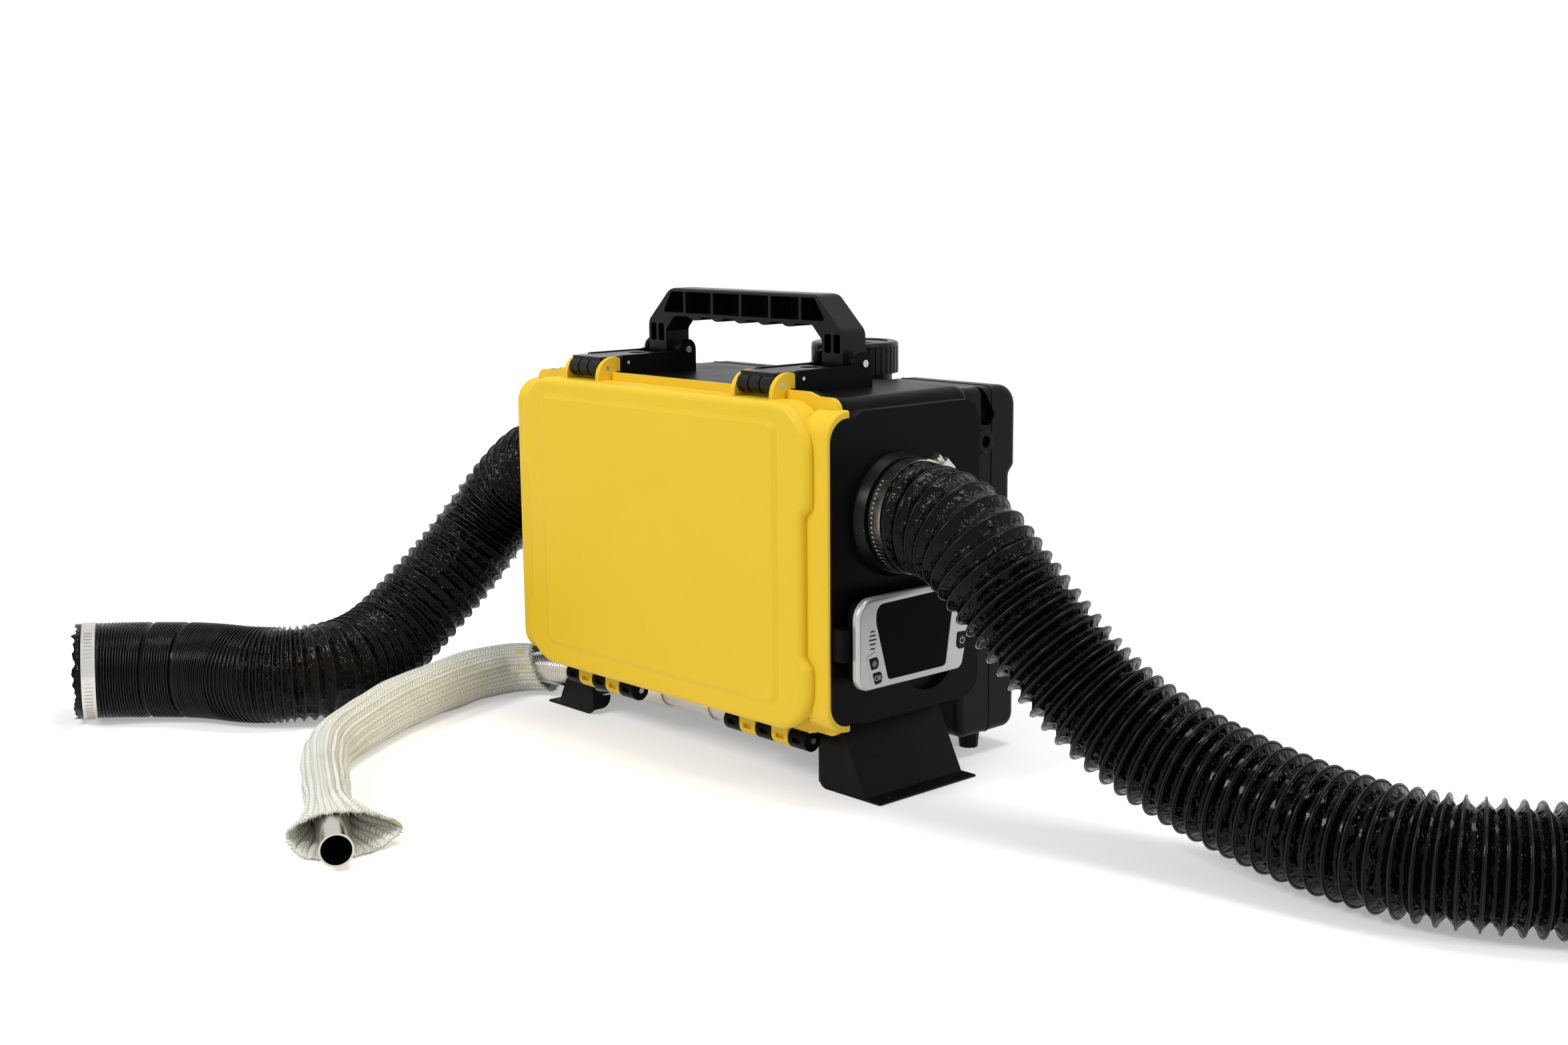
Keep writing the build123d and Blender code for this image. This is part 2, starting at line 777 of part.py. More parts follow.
# ---- ducts and flex ----------------------------------------------------------------------------
# Routes of the free hoses. The first point is where a hose leaves its pipe end.
warm_route = [(duct_start, duct_y, duct_z), (246, -43.5, 225), (279, -43.5, 212), (305, -42, 187),
              (347, -34, 143), (388, -24, 103), (436, -15, 77), (493, -9, 59), (562, -5, 47),
              (628, 1, 43.8), (690, 32, 43.6), (738, 72, 43.7)]
return_route = [(-duct_start, duct_y, duct_z), (-247, -43.5, 225), (-281, -44.5, 214),
                (-309, -49, 191), (-328, -66, 161), (-335, -97, 124), (-337, -135, 91),
                (-335, -171, 64), (-327, -207, 48), (-313, -258, 43.7), (-339, -310, 43.6),
                (-396, -334, 43.7), (-427, -364, 43.9), (-453, -398, 44.9), (-466, -425, 45.8)]
flex_route = [(flex_start, exhaust_y, exhaust_z), (-108, exhaust_y, exhaust_z), (-160, -60.5, 33.5),
              (-210, -61, 28.5), (-246, -62, 25.4), (-275, -86, 24.2), (-274, -126, 24.4),
              (-259, -176, 24.2), (-235, -234, 23.2), (-203, -288, 22), (-170, -339, 19),
              (-129, -366, 17.6), (-78, -393, 17.2), (-22, -421, 16.6)]


def route_radii(points):
    """Arc of each corner: as large as its two runs allow."""
    radii = []
    for before, corner, after in zip(points, points[1:], points[2:]):
        first = Vector(*corner) - Vector(*before)
        second = Vector(*after) - Vector(*corner)
        turn = math.radians(first.get_angle(second))
        radii.append(0.45 * min(first.length, second.length) / math.tan(turn / 2))
    return radii


def route_path(name, points, diameter):
    """Smooth path along a route: straight runs with tangent arcs."""
    radii = route_radii(points)
    path = FilletPolyline(*points, radius=radii)
    print(f"{name}: length {path.length:.0f}, smallest radius {min(radii):.0f}"
          f" ({min(radii) / diameter:.1f} d)")
    return path


def ring_at(path, distance, radius):
    """Circle square to a path, with its own x kept level."""
    share = min(max(distance / path.length, 0.0), 1.0)
    along = path % share
    level = Vector(0, 0, 1).cross(along).normalized()
    return Plane(path @ share, x_dir=level, z_dir=along) * Circle(radius)


def rib_rings(path, starts, crest, valley, rib, first, last):
    """Circles of a ribbed skin: each rib is valley, crest, crest, valley."""
    rings = [ring_at(path, first, valley)]
    for start in starts:
        rings += [ring_at(path, start, valley), ring_at(path, start + rib * 0.3, crest),
                  ring_at(path, start + rib * 0.7, crest), ring_at(path, start + rib, valley)]
    return rings + [ring_at(path, last, valley)]


def ribbed_tube(path, starts, crest, valley, bore, rib):
    """Ribbed hose with its bore."""
    skin = loft(rib_rings(path, starts, crest, valley, rib, 0, path.length), ruled=True)
    steps = max(12, round(path.length / 12))
    inside = [ring_at(path, path.length * step / steps, bore) for step in range(steps + 1)]
    return skin - loft(inside, ruled=True)


def even_starts(first, last, pitch, rib):
    """Starts of evenly pitched ribs between two distances."""
    count = int((last - first - rib) / pitch) + 1
    return [first + index * pitch for index in range(count)]


def make_warm_duct(path):
    """Ribbed film duct on the right, drawn out so that its wire turns lie far apart."""
    starts = even_starts(duct_rib, path.length - duct_rib, duct_pitch, duct_rib)
    return ribbed_tube(path, starts, duct_crest_r, duct_valley_r, duct_bore_r, duct_rib)


def make_return_duct():
    """Ribbed film duct on the left: its free end is pushed together, the rest is drawn out."""
    points = [(-x, y, z) for x, y, z in return_route]
    path = FilletPolyline(*points, radius=route_radii(points))
    change = path.length - duct_packed
    tight = duct_packed_pitch * 0.8
    starts = even_starts(duct_rib, change - 1, duct_pitch, duct_rib)
    packed = even_starts(change, path.length - 1, duct_packed_pitch, tight)
    rings = rib_rings(path, starts, duct_crest_r, duct_valley_r, duct_rib, 0, change - 0.5)
    rings += rib_rings(path, packed, duct_crest_r, duct_valley_r, tight, change - 0.2, path.length)
    steps = round(path.length / 12)
    inside = [ring_at(path, path.length * step / steps, duct_bore_r) for step in range(steps + 1)]
    return flip(loft(rings, ruled=True) - loft(inside, ruled=True))


def make_collar():
    """Right-hand collar on the side plate, with the pipe end that a duct slides over."""
    start = plate_half - collar_foot - case_wall
    bore = spigot_r - spigot_wall
    tip = plate_half + collar_length
    points = [(start, bore), (spigot_end, bore), (spigot_end, spigot_r - 0.6),
              (spigot_end - 3, spigot_r), (tip, spigot_r), (tip, collar_tip_r),
              (plate_half + 3, collar_plate_r), (plate_half, collar_plate_r),
              (plate_half, spigot_r), (start, spigot_r)]
    return turned(points, duct_y, duct_z)


def clamp_band(frame):
    """Worm-drive clamp band round a duct, with the worm's housing on the frame's x side."""
    inner = duct_crest_r + clamp_gap
    outer = inner + clamp_thick
    half = clamp_width / 2
    band = extrude(Plane.XY.offset(-half) * (Circle(outer) - Circle(inner)), clamp_width)
    low = inner + 0.1
    high = outer + housing_height
    length = housing_length / 2
    width = housing_width / 2
    shell = box(low, high, -length, length, -width, width)
    shell = fillet(shell.edges().filter_by(Axis.Y).group_by(Axis.X)[-1], 2.5)
    middle = worm_middle()
    shell -= rod("y", middle, 0, worm_r + 0.2, -length - 1, length + 1)
    tail = band_tail(inner, outer, half)
    placed = band + shell + tail
    for index in range(clamp_slots):
        angle = clamp_slot_from + index * clamp_slot_step
        slot = Rot(0, 0, angle) * Pos(outer, 0, 0) * Box(2 * clamp_thick, clamp_slot_width, clamp_slot_length)
        placed -= slot
    return Location(frame) * placed


def band_tail(inner, outer, half):
    """Loose end of the band, which lies on the band past the housing."""
    ring = Circle(outer + clamp_thick) - Circle(outer - 0.05)
    wedge = make_face(Polyline((0, 0), (2 * outer, 0), (2 * outer, 1.2 * outer), close=True))
    return extrude(Plane.XY.offset(-half + 0.5) * (ring & wedge), 2 * half - 1)


def worm_middle():
    """Distance of the worm's axis from the duct's axis."""
    return duct_crest_r + clamp_gap + clamp_thick + housing_height / 2


def clamp_worm(frame):
    """Worm screw of a clamp, with a slotted hexagon head."""
    length = worm_length / 2
    middle = worm_middle()
    shape = rod("y", middle, 0, worm_r, -length, length)
    head = Pos(middle, 0) * RegularPolygon(worm_head_r, 6)
    head = extrude(Plane((0, length + worm_head, 0), x_dir=(1, 0, 0), z_dir=(0, -1, 0)) * head, worm_head)
    slot_y = length + worm_head
    head -= box(middle - 0.6, middle + 0.6, slot_y - 1.5, slot_y + 1, -worm_head_r, worm_head_r)
    return Location(frame) * (shape + head)


def clamp_frames(return_path):
    """Where the clamps sit: on both collars and on the free end of the return duct."""
    lean = math.radians(clamp_lean)
    side = (0, math.cos(lean), math.sin(lean))
    right = Plane((clamp_x, duct_y, duct_z), x_dir=side, z_dir=(1, 0, 0))
    left = Plane((-clamp_x, duct_y, duct_z), x_dir=side, z_dir=(-1, 0, 0))
    share = 1 - clamp_end / return_path.length
    along = return_path % share
    level = Vector(0, 0, 1).cross(along).normalized()
    turn = math.radians(clamp_end_lean)
    out = level * math.cos(turn) + Vector(0, 0, 1) * math.sin(turn)
    return {"outlet": right, "inlet": left,
            "free": Plane(return_path @ share, x_dir=out, z_dir=along)}


# ---- exhaust -----------------------------------------------------------------------------------
def make_exhaust_pipe():
    """Plain pipe from the heater through the floor and along under the case."""
    path = FilletPolyline((exhaust_down_x, exhaust_y, up(exhaust_top)),
                          (exhaust_down_x, exhaust_y, exhaust_z),
                          (flex_start - flex_lap, exhaust_y, exhaust_z), radius=[exhaust_bend])
    start = Plane(path @ 0, z_dir=path % 0)
    return sweep(start * (Circle(exhaust_r) - Circle(exhaust_r - exhaust_wall)), path)


def make_exhaust_strap():
    """Strap that hangs the exhaust from the floor."""
    half = strap_width / 2
    ring = Pos(exhaust_y, exhaust_z) * (Circle(exhaust_r + strap_thick) - Circle(exhaust_r + rest_gap))
    top = up(body_low)
    neck = exhaust_z + exhaust_r + strap_thick / 2
    tab = Pos(exhaust_y, (neck + top) / 2) * Rectangle(strap_thick * 2, top - neck)
    pad = Pos(exhaust_y, top - strap_thick / 2) * Rectangle(4 * strap_width, strap_thick)
    return bar_x(ring + tab + pad, strap_x - half, strap_x + half)


def make_exhaust_flex(path):
    """Corrugated steel hose inside the sleeve."""
    rib = flex_pitch * 0.8
    starts = even_starts(flex_pitch / 2, path.length - 1, flex_pitch, rib)
    return ribbed_tube(path, starts, flex_crest_r, flex_valley_r, flex_bore_r, rib)


def make_exhaust_sleeve(path):
    """Braided heat sleeve round the flex."""
    radii = sleeve_radii
    first = sleeve_start
    span = path.length - first - sleeve_end_gap
    steps = sleeve_steps
    outside = []
    inside = []
    for step in range(steps + 1):
        share = step / steps
        place = share * (len(radii) - 1)
        index = min(int(place), len(radii) - 2)
        radius = radii[index] + (radii[index + 1] - radii[index]) * (place - index)
        outside.append(ring_at(path, first + share * span, radius))
        inside.append(ring_at(path, first + share * span, sleeve_bore_r))
    return loft(outside, ruled=True) - loft(inside, ruled=True)


def make_tail_pipe(path):
    """Plain steel end of the exhaust, pushed into the flex."""
    end = path @ 1
    along = path % 1
    start = Plane(end - along * flex_lap, z_dir=along)
    stop = Plane(end + along * tail_bead_gap, z_dir=along)
    pipe = extrude(start * (Circle(tail_r) - Circle(tail_r - exhaust_wall)), tail_length)
    return pipe + extrude(stop * (Circle(tail_bead_r) - Circle(tail_r - exhaust_wall)), tail_bead)


# ---- feet --------------------------------------------------------------------------------------
def foot_section():
    """Front view of the bent side of the right foot."""
    top = up(body_low)
    sheet = foot_sheet
    wide = sheet * math.hypot(1, foot_slope)
    outer = foot_bend_top + (top - sheet) * foot_slope
    inner_top = foot_bend_top + sheet * foot_slope - wide
    inner_low = foot_bend_top + top * foot_slope - wide
    points = [(foot_inner, top), (foot_bend_top, top), (outer, sheet), (foot_flange, sheet),
              (foot_flange, 0), (inner_low, 0), (inner_top, top - sheet), (foot_inner, top - sheet)]
    return outline(points, [0, sheet, 0, 1, 1, sheet, 0, 0])


def make_foot():
    """Right foot: one bent sheet with a front plate, a return lip and a ground flange."""
    top = up(body_low)
    sheet = foot_sheet
    side = bar_y(foot_section(), foot_y, foot_y + foot_side_length)
    lowest = foot_bend_top + top * foot_slope - sheet
    front = outline([(foot_inner, top), (foot_inner, 0), (lowest, 0), (foot_bend_top - sheet, top)],
                    [0, foot_round, 0, 0])
    shape = side + bar_y(front, foot_y, foot_y + sheet)
    lip = outline([(foot_y, top), (foot_y, foot_round / 2), (foot_y + foot_lip, foot_round / 2),
                   (foot_y + foot_lip, top)], [0, 0, foot_lip / 2 - 0.5, 0])
    shape += bar_x(lip, foot_inner, foot_inner + sheet)
    for x, y in foot_screw_places():
        shape -= rod("z", x, y, screw_r + rest_gap, top - sheet - 1, top + 1)
    for along in foot_hole_back:
        shape -= rod("z", foot_flange - foot_hole_inset, foot_y + along, foot_hole_r, -1, sheet + 1)
    return shape


def make_left_foot(path):
    """Left foot, with the ports that the exhaust passes through."""
    shape = flip(make_foot())
    for x in (-foot_inner, -foot_bend_top - 10):
        middle = next(path @ (step / 200) for step in range(200) if (path @ (step / 200)).X < x)
        shape -= rod("x", middle.Y, middle.Z, flex_crest_r + foot_port_gap, x - 18, x + 18)
    return shape


def make_foot_screws():
    """Screws that hold both feet to the floor."""
    seat = up(body_low) - foot_sheet
    group = None
    for x, y in foot_screw_places():
        head = rod("z", x, y, screw_head_r, seat - screw_head, seat)
        head = fillet(head.edges().group_by(Axis.Z)[0], 1.2)
        screw = head + rod("z", x, y, screw_r, seat - 1, seat + foot_sheet + screw_bite - 1)
        screw -= extrude(Plane.XY.offset(seat - screw_head) * (Pos(x, y) * RegularPolygon(1.7, 6)), 1.6)
        group = screw if group is None else group + screw
    return pair(group)


# ---- fuel tank ---------------------------------------------------------------------------------
def tank_side(wall):
    """Side view of the tank, cut back by a wall."""
    front = tank_y + wall
    rear = tank_y + tank_depth - wall
    low = up(tank_low) + wall
    high = up(tank_high) - wall
    waist = rear - tank_waist
    upper = rear - tank_chin
    step_low = up(tank_waist_low) - wall
    step_high = up(tank_waist_high) + wall
    slope = tank_waist * 0.8
    points = [(front, low), (rear, low), (rear, step_low), (waist, step_low + slope),
              (waist, step_high - slope), (upper, step_high), (upper, high), (front, high)]
    corner = tank_round - wall
    return outline(points, [corner, corner, 5, 5, 5, 5, tank_shoulder - wall, corner])


def tank_block(wall):
    """Solid body of the tank, cut back by a wall, with its lowered top round the neck."""
    half = tank_half - wall
    block = bar_x(tank_side(wall), -half, half)
    if wall == 0:
        block = fillet(block.faces().sort_by(Axis.X)[-1].edges(), tank_edge)
        block = fillet(block.faces().sort_by(Axis.X)[0].edges(), tank_edge)
    wide = neck_seat_half + wall
    seat = outline([(neck_x - wide, up(neck_seat) - wall), (neck_x + wide, up(neck_seat) - wall),
                    (neck_x + wide + 12, up(tank_high) + 2), (neck_x - wide - 12, up(tank_high) + 2)],
                   [6, 6, 0, 0])
    block -= bar_y(seat, tank_y - 1, tank_y + tank_depth + 1)
    return block - pair(saddle(wall))


def saddle(wall):
    """Recess in the right side of the tank, over the strap boss."""
    start = tank_y + saddle_back - wall
    rear = start + saddle_wide + 2 * wall
    low = up(saddle_low) - wall
    face = outline([(start, up(tank_high) + 2), (start, low), (start + 13 + wall, low),
                    (rear, low + 9), (rear - 16, up(tank_high) + 2)], [0, 3, 3, 3, 0])
    return bar_x(face, tank_half - saddle_depth - wall, tank_half + 1)


def make_fuel_tank():
    """Blow-moulded fuel tank with its pegs, strap bosses and neck."""
    neck_y = tank_y + neck_back
    boss_y = tank_y + boss_back
    body = tank_block(0)
    boss = rod("x", boss_y, up(boss_high), boss_r, tank_half - 1, tank_half + boss_raise)
    body += pair(fillet(boss.edges().group_by(Axis.X)[-1], 1.5))
    body += rod("z", neck_x, neck_y, neck_r, up(neck_seat) - 1, up(neck_top))
    hollow = tank_block(tank_wall)
    hollow += rod("z", neck_x, neck_y, neck_bore_r, up(neck_seat) - 8, up(neck_top) + 1)
    for x, z in stud_places():
        hollow -= rod("y", x, z, stud_boss_r, tank_y, tank_y + stud_grip + 2)
    hollow -= rod("y", fuel_x, fuel_z, stud_boss_r, tank_y, tank_y + stud_grip)
    body -= hollow
    body -= rod("y", fuel_x, fuel_z, fuel_r + rest_gap, tank_y - 1, tank_y + tank_wall * 8)
    for x, z in stud_places():
        body -= rod("y", x, z, stud_r + rest_gap, tank_y - 1, tank_y + stud_grip)
    body -= pair(rod("x", boss_y, up(boss_high), boss_r / 2, tank_half - 1, tank_half + boss_raise + 1))
    for side in (-1, 1):
        foot = Plane((side * peg_x, tank_y + peg_back, 0)) * Circle(peg_tip_r)
        root = Plane((side * peg_x, tank_y + peg_back, up(tank_low) + 1)) * Circle(peg_r)
        body += loft([foot, root], ruled=True)
    return body


def make_filler_cap():
    """Ribbed screw cap."""
    neck_y = tank_y + neck_back
    cap = rod("z", neck_x, neck_y, cap_r, up(cap_low), up(cap_high))
    cap = fillet(cap.edges().group_by(Axis.Z)[-1], cap_dome)
    for index in range(cap_ribs):
        angle = 2 * math.pi * index / cap_ribs
        x = neck_x + (cap_r + 0.3) * math.cos(angle)
        y = neck_y + (cap_r + 0.3) * math.sin(angle)
        cap -= rod("z", x, y, 1.3, up(cap_low) - 1, up(cap_high) - cap_dome - 1)
    ceiling = up(neck_top) + gasket_thick
    dish = rod("z", neck_x, neck_y, cap_r - 9, up(cap_high) - 1.2, up(cap_high) + 1)
    bar = box(neck_x - cap_r + 10, neck_x + cap_r - 10, neck_y - 3, neck_y + 3,
              up(cap_high) - 1.5, up(cap_high))
    return cap - rod("z", neck_x, neck_y, neck_r + fit_gap, up(cap_low) - 1, ceiling) - dish + bar


def make_cap_gasket():
    """Gasket between the neck and the cap."""
    ring = Circle(neck_r - 0.5) - Circle(neck_bore_r)
    top = up(neck_top)
    return bar_z(Pos(neck_x, tank_y + neck_back) * ring, top + 0.02, top + gasket_thick - 0.02)


def make_tank_studs():
    """Studs that hold the tank to the back wall, with their heads inside the case."""
    group = None
    for x, z in stud_places():
        inside = back_y - case_wall
        shank = rod("y", x, z, stud_r, inside - 1, tank_y + stud_grip - 1)
        head = bar_y(Pos(x, z) * RegularPolygon(2 * stud_r, 6), inside - 4, inside)
        group = shank + head if group is None else group + shank + head
    return group


# ---- controller --------------------------------------------------------------------------------
def panel_plane(x):
    """Plane on the controller's face: its own x is Y and its own y is Z."""
    return Plane((x, panel_y, panel_z), x_dir=(0, 1, 0), z_dir=(1, 0, 0))


def panel_bar(face, x0, x1):
    """Extrudes an outline given from the middle of the controller's face."""
    return extrude(panel_plane(x0) * face, x1 - x0)


def grown(points, grow):
    """Corners of an outline round its own middle, moved outwards by grow, inwards when below 0."""
    return [(y + grow * math.copysign(1, y), z + grow * math.copysign(1, z)) for y, z in points]


def screen_face(shrink):
    """The screen's outline: wider at the top than at the bottom."""
    return outline(grown(screen_points, -shrink), screen_radii)


def button_places():
    """Middles of the buttons, from the middle of the face."""
    return {"settings": (-43.7, -14.8), "ok": (-39.8, -26.8), "power": (55.0, -12.8)}


def button_face(name, grow):
    """A button's outline in its place."""
    points = power_button if name == "power" else small_button
    radii = power_button_radii if name == "power" else small_button_radii
    return Pos(*button_places()[name]) * outline(grown(points, grow), radii)


def make_controller_bezel():
    """Silver front of the controller."""
    bezel = panel_bar(outline(bezel_face_points, bezel_face_radii), bezel_x, bezel_face)
    bezel = fillet(bezel.faces().sort_by(Axis.X)[-1].edges(), bezel_round)
    bezel += panel_bar(outline(pad_points, 1.5), bezel_face - 2, bezel_face + pad_raise)
    bezel -= panel_bar(screen_face(0), bezel_x - 1, bezel_face + 1)
    for name in button_places():
        bezel -= panel_bar(button_face(name, button_gap), bezel_x - 1, bezel_face + 1)
    for height, length in vent_rows:
        slot = Pos(vent_y, height) * SlotOverall(length, vent_width)
        bezel -= panel_bar(slot, bezel_x - 1, bezel_face + 1)
    return bezel


def make_controller_shell():
    """Black housing behind the bezel, with a stop under each button."""
    inset = shell_inset
    face = RectangleRounded(bezel_w - 2 * inset, bezel_h - 2 * inset, bezel_corner - inset)
    shell = panel_bar(face, shell_x, bezel_x)
    rear = RectangleRounded(bezel_w - 2 * inset - 4, bezel_h - 2 * inset - 4, bezel_corner - inset - 2)
    shell -= panel_bar(rear, shell_x + 2, bezel_x - 1.5)
    for name in button_places():
        shell -= panel_bar(button_face(name, button_gap), bezel_x - 1.6, bezel_x + 1)
    return shell


def make_screen():
    """Black glass of the screen."""
    return panel_bar(screen_face(0.15), bezel_x + 0.02, bezel_face - screen_inset)


def make_button(name):
    """One push button."""
    button = panel_bar(button_face(name, 0), bezel_face + button_proud - button_depth,
                       bezel_face + button_proud)
    return fillet(button.edges().group_by(Axis.X)[-1], 0.6)


def make_cradle():
    """Black cradle on the side plate that the controller clips into."""
    plate = panel_bar(RectangleRounded(cradle_w, cradle_h, 6), plate_half, shell_x)
    clip = box(plate_half, clip_reach, back(clip_back[0]), back(clip_back[1]),
               up(clip_high[0]), up(clip_high[1]))
    clip = fillet(clip.edges().filter_by(Axis.Z).group_by(Axis.X)[-1], 3)
    arm = box(plate_half, shell_x - 0.5, back(clip_back[0]), panel_y, up(clip_high[0]), up(clip_high[1]))
    return plate + (clip - panel_bar(RectangleRounded(bezel_w + 1, bezel_h + 1, bezel_corner),
                                     shell_x, bezel_face)) + arm - port_cut()


def port_cut():
    """The cradle leaves the cable port's lower part open."""
    return rod("x", port_y, port_z, port_r, plate_half - 1, shell_x + 1) & box(
        0, 300, port_y - port_r, port_y + port_r, 0, panel_z - cradle_h / 2 + 8)


def make_grommet():
    """Rubber ring of the cable port."""
    inner = plate_half - port_depth
    lip = rod("x", port_y, port_z, grommet_r + 2, inner, inner + 2)
    tube = rod("x", port_y, port_z, grommet_r - rest_gap, body_half - case_wall, inner + 1)
    return lip + tube - rod("x", port_y, port_z, grommet_bore_r, 0, plate_half)


# ---- heater unit inside ------------------------------------------------------------------------
def make_heater_shells():
    """Air shell round the heater, split at the middle height."""
    bore = spigot_r - spigot_wall
    wall = shell_wall
    points = [(shell_left, bore), (shell_left + cone_length, shell_r - wall),
              (shell_right - cone_length, shell_r - wall), (shell_right, bore),
              (shell_right, bore + wall), (shell_right - cone_length, shell_r),
              (shell_left + cone_length, shell_r), (shell_left, bore + wall)]
    tube = turned(points, duct_y, duct_z)
    tube -= rod("z", exhaust_down_x, exhaust_y, stub_r + fit_gap, 0, duct_z)
    tube -= rod("z", intake_x, duct_y, intake_r + rest_gap, 0, duct_z)
    tube -= rod("y", fuel_in_x, duct_z - 8, fuel_r + fit_gap, duct_y - 2 * shell_r, duct_y)
    reach = 2 * shell_r
    low = box(-body_half, body_half, duct_y - reach, duct_y + reach, duct_z - reach, duct_z - shell_seam / 2)
    high = box(-body_half, body_half, duct_y - reach, duct_y + reach, duct_z + shell_seam / 2, duct_z + reach)
    return tube & low, tube & high


def make_heat_exchanger():
    """Finned aluminium exchanger with the stub that takes the exhaust."""
    core = rod("x", duct_y, duct_z, exchanger_r, exchanger_left, exchanger_right)
    for index in range(fin_count):
        fin = box(exchanger_left + 4, exchanger_right - 6, duct_y - fin_thick / 2, duct_y + fin_thick / 2,
                  duct_z + exchanger_r - 2, duct_z + fin_r)
        core += fin.rotate(Axis((0, duct_y, duct_z), (1, 0, 0)), (index + 0.5) * 360 / fin_count)
    core += rod("z", exhaust_down_x, exhaust_y, stub_r, up(exhaust_top) - stub_lap, duct_z - 20)
    core -= rod("x", duct_y, duct_z, burner_r + 3, exchanger_left - 1, exchanger_right - 12)
    return core - rod("z", exhaust_down_x, exhaust_y, exhaust_r + rest_gap, 0, up(exhaust_top) + 1)


def make_burner():
    """Burner tube with its flange and the housing of the combustion rotor."""
    end = exchanger_right - 30
    points = [(rotor_right + 4, burner_r - 2), (end, burner_r - 2), (end, burner_r),
              (exchanger_left - 0.1, burner_r), (exchanger_left - 0.1, exchanger_r),
              (exchanger_left - 4, exchanger_r), (exchanger_left - 4, rotor_r + 3),
              (rotor_left - 4, rotor_r + 3), (rotor_left - 4, rotor_r + 1),
              (exchanger_left - 8, rotor_r + 1), (exchanger_left - 8, burner_r),
              (rotor_right + 4, burner_r)]
    burner = turned(points, duct_y, duct_z)
    burner -= rod("z", intake_x, duct_y, intake_r + rest_gap, 0, duct_z - rotor_r + 4)
    burner -= rod("z", glow_x, duct_y, glow_r + rest_gap, duct_z, duct_z + 2 * rotor_r)
    return burner - rod("y", fuel_in_x, duct_z - 8, fuel_r + rest_gap, duct_y - 2 * shell_r, duct_y)


def make_glow_plug():
    """Glow plug, screwed into the burner from above."""
    low = duct_z + burner_r - 6
    plug = rod("z", glow_x, duct_y, glow_r, low, duct_z + rotor_r + 4)
    hexagon = Pos(glow_x, duct_y) * RegularPolygon(glow_r + 2, 6)
    return plug + bar_z(hexagon, duct_z + rotor_r + 3.02, duct_z + rotor_r + 6)


def make_blower_motor():
    """Blower motor with the three struts that carry it in the shell."""
    motor = rod("x", duct_y, duct_z, motor_r, motor_left, motor_right)
    reach = shell_r - shell_wall - 0.05
    for angle in (60, 180, 300):
        strut = box(motor_left + 10, motor_right - 10, duct_y - 1.5, duct_y + 1.5,
                    duct_z + motor_r - 2, duct_z + reach - 0.05)
        motor += strut.rotate(Axis((0, duct_y, duct_z), (1, 0, 0)), angle)
    return motor - rod("x", duct_y, duct_z, shaft_r + pin_fit, motor_left - 1, motor_right + 1)


def make_shaft():
    """Shaft of the blower."""
    return rod("x", duct_y, duct_z, shaft_r, fan_left - 3, rotor_right + 2)


def make_wheel(left, right, radius, blades, lean):
    """Wheel on the blower's shaft: a hub with leaning blades."""
    wheel = rod("x", duct_y, duct_z, 3 * shaft_r, left, right)
    middle = (left + right) / 2
    width = (right - left) * 0.8
    blade = Pos(0, 0, radius / 2 + shaft_r) * Rot(0, 0, lean) * Box(width, 1.6, radius - 2 * shaft_r)
    for index in range(blades):
        placed = Pos(middle, duct_y, duct_z) * blade
        wheel += placed.rotate(Axis((0, duct_y, duct_z), (1, 0, 0)), index * 360 / blades)
    return wheel - rod("x", duct_y, duct_z, shaft_r + rest_gap / 2, left - 1, right + 1)


def make_control_board():
    """Control board on two standoffs over the motor."""
    low = duct_z + motor_r + 8
    board = box(motor_left + 3, motor_right - 3, duct_y - 14, duct_y + 14, low, low + 1.6)
    for x in (motor_left + 8, motor_right - 8):
        board += rod("z", x, duct_y, 2.5, duct_z + motor_r + 0.02, low + 1)
    return board


def make_stand():
    """Bent stand that holds the heater over the floor."""
    shape = box(stand_x[0], stand_x[1], duct_y - stand_half, duct_y + stand_half,
                floor_z, floor_z + stand_wall)
    for x in stand_x:
        inward = x if x < 0 else x - stand_wall
        shape += box(inward, inward + stand_wall, duct_y - stand_half, duct_y + stand_half,
                     floor_z, duct_z - shell_r / 2)
    shape -= rod("x", duct_y, duct_z, shell_r + rest_gap, -body_half, body_half)
    return shape - rod("z", intake_x, duct_y, intake_r + rest_gap, 0, duct_z)


def make_intake_pipe():
    """Combustion-air pipe from the floor to the rotor's housing."""
    ring = Circle(intake_r) - Circle(intake_r - intake_wall)
    return bar_z(Pos(intake_x, duct_y) * ring, up(body_low), duct_z - rotor_r)


def make_floor_gasket():
    """Gasket round the exhaust where it passes through the floor."""
    ring = Circle(exhaust_r + 8) - Circle(exhaust_r + rest_gap)
    return bar_z(Pos(exhaust_down_x, exhaust_y) * ring, floor_z, floor_z + gasket_thick)


def make_fuel_pump():
    """Dosing pump on the floor, between its two fuel ends."""
    pump = rod("y", fuel_x, fuel_z, pump_r, pump_y, pump_y + pump_length)
    ends = rod("y", fuel_x, fuel_z, fuel_r + 2, pump_y - 8, pump_y + pump_length + 8)
    return pump + ends - rod("y", fuel_x, fuel_z, fuel_r + rest_gap, pump_y - 9, pump_y + pump_length + 9)


def make_pump_mount():
    """Rubber saddle under the pump."""
    middle = pump_y + pump_length / 2
    block = box(fuel_x - pump_r - 3, fuel_x + pump_r + 3, middle - 9, middle + 9, floor_z, fuel_z)
    return block - rod("y", fuel_x, fuel_z, pump_r + rest_gap, middle - 10, middle + 10)


def make_fuel_filter():
    """Inline fuel filter behind the pump."""
    start = pump_y + pump_length + 14
    return rod("y", fuel_x, fuel_z, 9, start, start + 22) - rod(
        "y", fuel_x, fuel_z, fuel_r + rest_gap, start - 1, start + 23)


